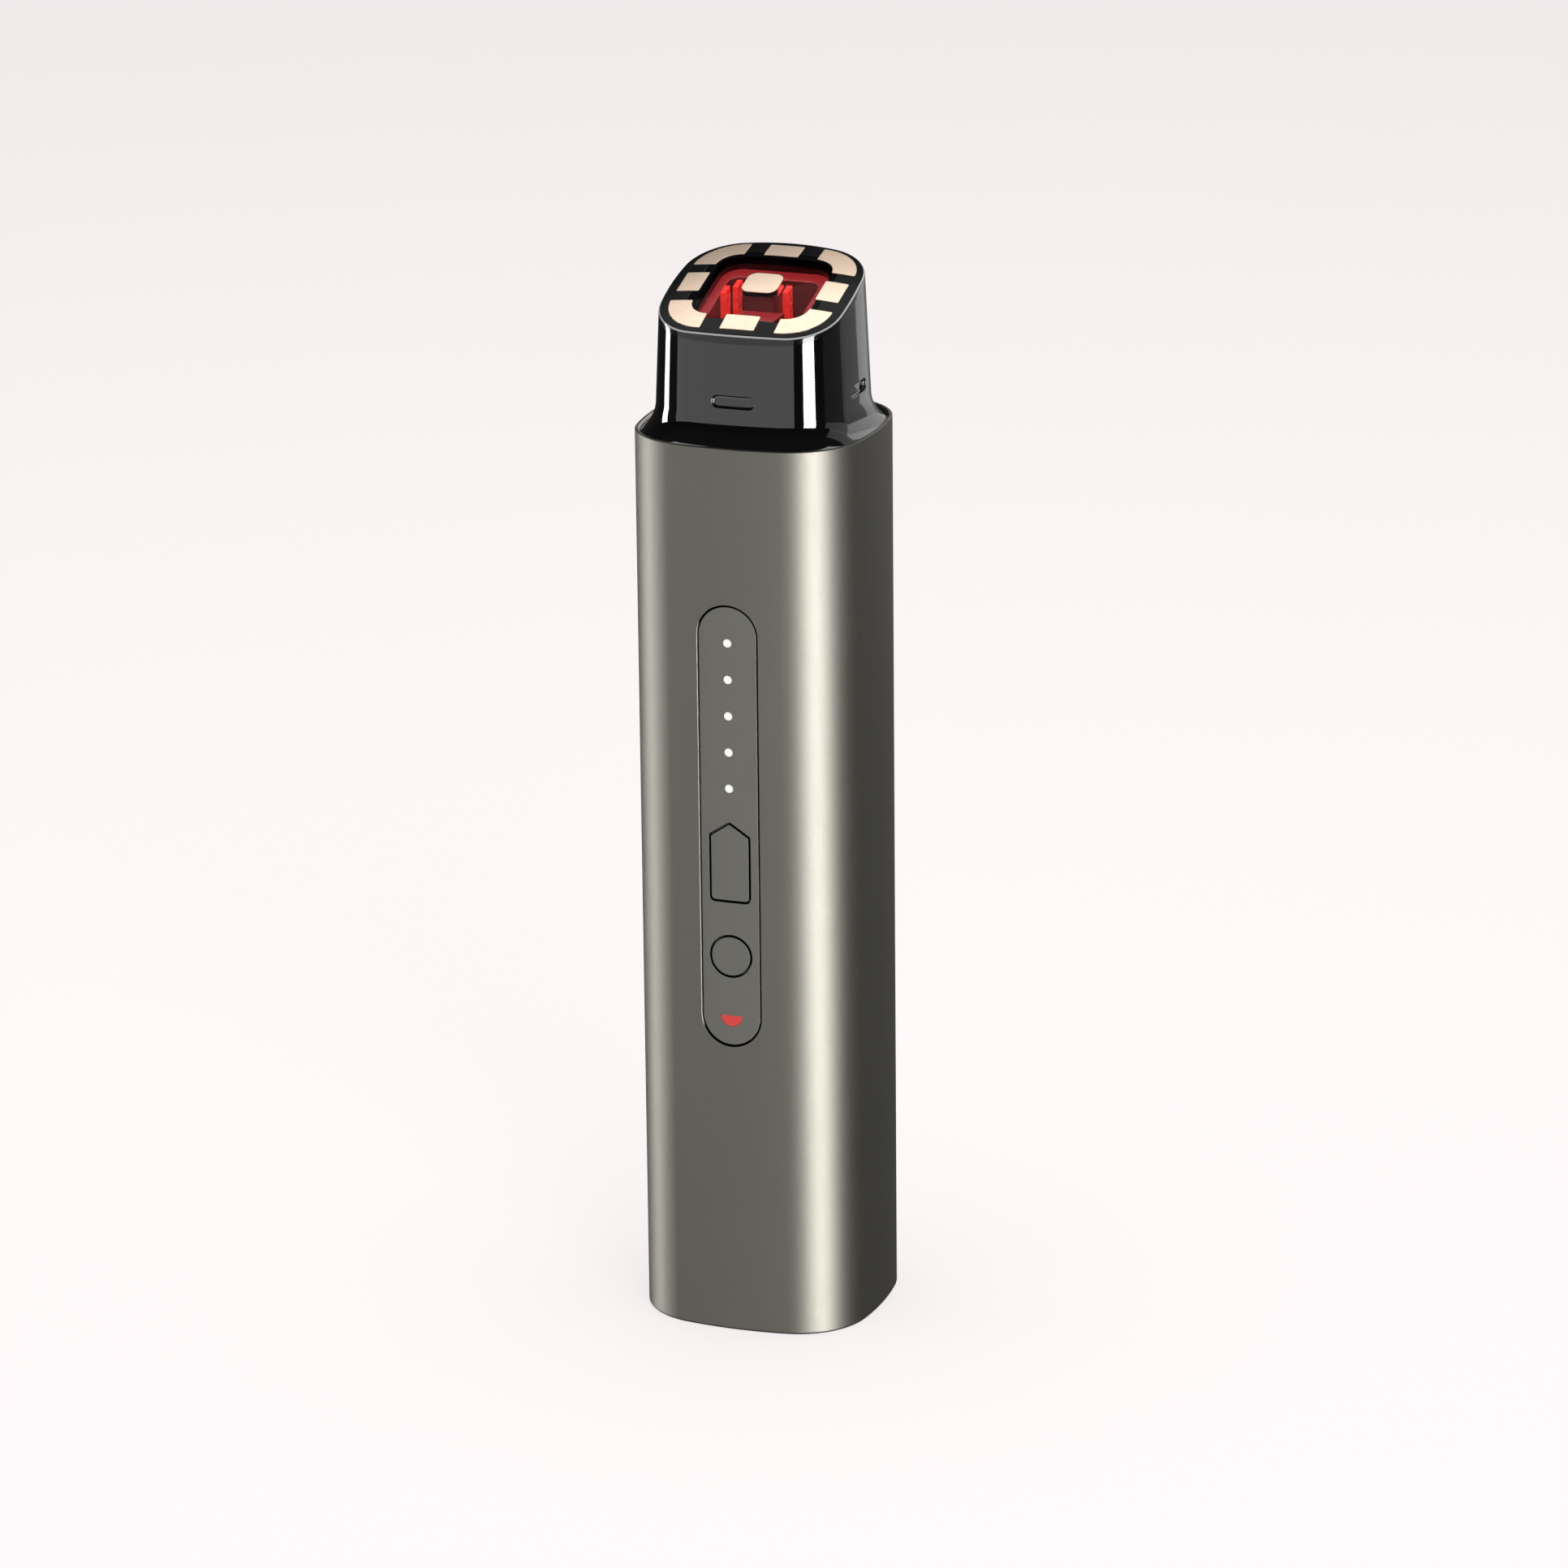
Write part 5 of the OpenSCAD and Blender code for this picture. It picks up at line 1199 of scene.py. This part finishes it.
def level_lights():
    """Five light pins with domed ends on the bar that joins them"""
    back, front, shoulder = 1 - BOARD_FRONT, -PANEL_SINK, 0.12
    r = LIGHT_D / 2
    rows = [(r - 0.06, back), (r, back + 0.06)]
    rows += [(r * math.cos(t), front - shoulder + 0.11 * math.sin(t)) for t in np.linspace(0, 1.45, 8)]
    places = [[0, -BODY_D / 2, LIGHT_Z + i * LIGHT_PITCH] for i in range(LIGHTS)]
    obj = set_units("level_light_pins", turned("light_unit", rows, 48), places, "level_light_pipe", FORWARD)
    deep, wide = PANEL_SINK + PANEL_SKIN, LIGHT_D + 1.4
    row_l = LIGHT_PITCH * (LIGHTS - 1)
    bar = prism("bar", stadium_outline(wide, row_l + wide, (0, LIGHT_Z + row_l / 2)),
                [(-0.08, -deep - 1), (0, -deep - 0.92), (0, -deep - 0.08), (-0.08, -deep)])
    x, z, d = coords(bar).T
    move_points(bar, np.column_stack([x, -d - BODY_D / 2, z]))
    combine(obj, [bar], "UNION")
    keep(shade(obj), "level_light_pipe")


SCREW_SETS = [("base", "pair", CASE_SCREW), ("frame", "set", CASE_SCREW), ("head", "set", CASE_SCREW),
              ("board", "set", BOARD_SCREW), ("charge", "pair", BOARD_SCREW), ("light", "set", BOARD_SCREW)]
for seed, (place, kind, size) in enumerate(SCREW_SETS, 11):
    screws(f"{place}_screw_{kind}", f"{place}_screws", size, seed)
leds("panel_light_row", "indicator_leds", 1, FORWARD)
leds("red_light_set", "red_leds", 2, UP)
capacitors()
contacts()
level_lights()


# ---------- Studio ----------

def emission(tree, colour, strength):
    return add(tree, "ShaderNodeEmission", {"Color": (*colour, 1), "Strength": strength}).outputs[0]


def even_light(name, strength):
    """A stage finish that only gives an even white light"""
    mat, tree = empty_material(name)
    add(tree, "ShaderNodeOutputMaterial", {"Surface": emission(tree, (1, 1, 1), strength)})
    return mat


def seen(tree, surface, light):
    """Adds to a surface a light that only the camera, gloss and glass see"""
    rays = tree.nodes.new("ShaderNodeLightPath").outputs
    some = rays["Is Camera Ray"]
    for more in (rays["Is Glossy Ray"], rays["Is Transmission Ray"]):
        some = add(tree, "ShaderNodeMath", {0: some, 1: more}, operation="ADD", use_clamp=True).outputs[0]
    both = add(tree, "ShaderNodeAddShader", {0: surface, 1: light})
    return add(tree, "ShaderNodeMixShader", {0: some, 1: surface, 2: both.outputs[0]}).outputs[0]


def only_gloss(obj):
    obj.visible_camera = obj.visible_diffuse = obj.visible_shadow = obj.visible_transmission = False
    obj.visible_volume_scatter = False


def floor():
    radius, steps = 9000, 64
    outline = circle_outline(radius, steps=steps)
    obj = add_object("studio_floor", at_height(outline, 0), [tuple(range(steps))])
    mat, tree = empty_material("floor_paint")
    paint = add(tree, "ShaderNodeBsdfDiffuse", {"Color": (0.40, 0.37, 0.375, 1)})
    light = emission(tree, (1, 0.95, 0.955), 0.67)
    add(tree, "ShaderNodeOutputMaterial", {"Surface": seen(tree, paint.outputs[0], light)})
    obj.data.materials.append(mat)
    obj.visible_glossy = False


# Light and dark cards round the wand: where each ends, in degrees from the front towards the right, and its
# brightness
LOW_CARDS = [(-96, 0.03), (-81.5, 14.0), (-60, 0.05), (23, 1.4), (41.5, 0.1), (64, 28.0), (84, 0.03),
             (200, 0.12)]
FRONT_CARDS = [(-96, 0.03), (-81.5, 15.0), (-60, 0.05), (23, 1.0), (41.5, 0.03), (64, 20.0), (84, 0.03)]
CARDS = FRONT_CARDS + [(134, 0.12), (159, 0.31), (169, 0.9), (178, 0.47), (200, 0.15)]
MIDDLE = FRONT_CARDS + [(140, 0.5), (200, 1.1)]
UPPER = [(95, 0.02), (140, 0.6), (200, 1.6)]
HIGH = [(95, 0.02), (170, 0.5), (200, 0.05)]
DARK_LEVEL = 0.03
DARK = [(200, DARK_LEVEL)]
# The round wall from the bottom up: radius and height of each ring's lower edge in metres, and its cards
WALL_RINGS = [(0.9, -0.9, DARK), (0.9, -0.46, LOW_CARDS), (0.9, -0.08, CARDS), (0.9, 0.215, MIDDLE),
              (0.9, 0.457, UPPER), (0.9, 0.6, HIGH), (0.75, 0.85, DARK), (0.5, 1.12, None)]


def studio_wall():
    """A round wall of cards that only shows in gloss, with a dark floor and ceiling"""
    places = np.arange(-160, 200, 1.0)
    points, faces, kinds = [], [], []
    n, last = len(places), len(WALL_RINGS) - 1
    for radius, z, _cards in WALL_RINGS:
        ring = [(radius * math.sin(a), -radius * math.cos(a), z) for a in np.radians(places)]
        points += [np.array(p) / MM for p in ring]
    for k, (_radius, _z, cards) in enumerate(WALL_RINGS[:-1]):
        for i in range(n):
            j = (i + 1) % n
            faces.append((k * n + i, (k + 1) * n + i, (k + 1) * n + j, k * n + j))
            kinds.append(next(level for end, level in cards if places[i] + 0.5 < end))
    faces += [tuple(range(n)), tuple(last * n + i for i in range(n))[::-1]]
    kinds += [DARK_LEVEL, DARK_LEVEL]
    obj = add_object("studio_cards", points, faces)
    levels = sorted(set(kinds))
    for strength in levels:
        obj.data.materials.append(even_light(f"card_{strength}", strength))
    for face, kind in zip(obj.data.polygons, kinds):
        face.material_index = levels.index(kind)
    only_gloss(obj)


def top_card(azimuth, elevation, distance, wide, high, strength):
    """A light card seen from the head, at an angle round from the front and up from level, in millimetres"""
    a, e = math.radians(azimuth), math.radians(elevation)
    out = np.array([math.sin(a) * math.cos(e), -math.cos(a) * math.cos(e), math.sin(e)])
    across = np.array([math.cos(a), math.sin(a), 0])
    up = np.cross(across, out)
    middle = np.array([0, 0, FACE_Z]) + out * distance
    corners = [middle + across * x + up * y for x, y in box_outline(wide, high, 0)]
    obj = add_object("studio_top_card", corners, [(0, 1, 2, 3)])
    obj.data.materials.append(even_light("top_card", strength))
    only_gloss(obj)


def softbox(name, at, target, size, power):
    """A round lamp that gives soft light but doesn't show in gloss, in metres and watts"""
    lamp = bpy.data.lights.new(name, "AREA")
    lamp.shape, lamp.size, lamp.energy = "DISK", size, power
    obj = put_in(name, lamp)
    obj.location = at
    obj.rotation_euler = (Vector(target) - Vector(at)).to_track_quat("-Z", "Y").to_euler()
    obj.visible_glossy = False


def world_light():
    """A plain soft light from all round, with a brighter white where the camera sees it"""
    world = bpy.data.worlds.new("studio_world")
    bpy.context.scene.world = world
    world.use_nodes = True
    tree = world.node_tree
    tree.nodes.clear()
    lights = [add(tree, "ShaderNodeBackground", {"Color": (1, 1, 1, 1), "Strength": strength}).outputs[0]
              for strength in (0.35, 0.65)]
    add(tree, "ShaderNodeOutputWorld", {"Surface": seen(tree, *lights)})


def camera():
    """The camera solved on the photograph: angles, millimetres, and the focal length and image in pixels"""
    azimuth, elevation, roll = (math.radians(angle) for angle in (19.679, 17.839, -0.585))
    distance, across, height = 1159.424, 2.69, 91.236
    focal, image, sensor = 8505.147, 1932, 36.0
    away = math.cos(elevation)
    back = Vector((math.sin(azimuth) * away, -math.cos(azimuth) * away, math.sin(elevation)))
    right = Vector((math.cos(azimuth), math.sin(azimuth), 0))
    up = back.cross(right)
    side = math.cos(roll) * right + math.sin(roll) * up
    top = -math.sin(roll) * right + math.cos(roll) * up
    eye = Vector((0, 0, height)) + right * across + back * distance
    data = bpy.data.cameras.new("studio_camera")
    data.sensor_width, data.lens, data.clip_end = sensor, focal / image * sensor, 50
    obj = put_in("studio_camera", data)
    turn = Matrix((side, top, back)).transposed().to_4x4()
    turn.translation = eye * MM
    obj.matrix_world = turn
    bpy.context.scene.camera = obj


floor()
studio_wall()
top_card(azimuth=192, elevation=60, distance=600, wide=620, high=240, strength=2.4)
softbox("overhead_softbox", at=(0, 0, 1.1), target=(0, 0, 0.1), size=0.9, power=6.0)
softbox("front_fill", at=(0.9, -1.1, 0.9), target=(0, 0, 0.09), size=0.8, power=5.0)
world_light()
camera()
bpy.context.scene.view_settings.view_transform = "Standard"
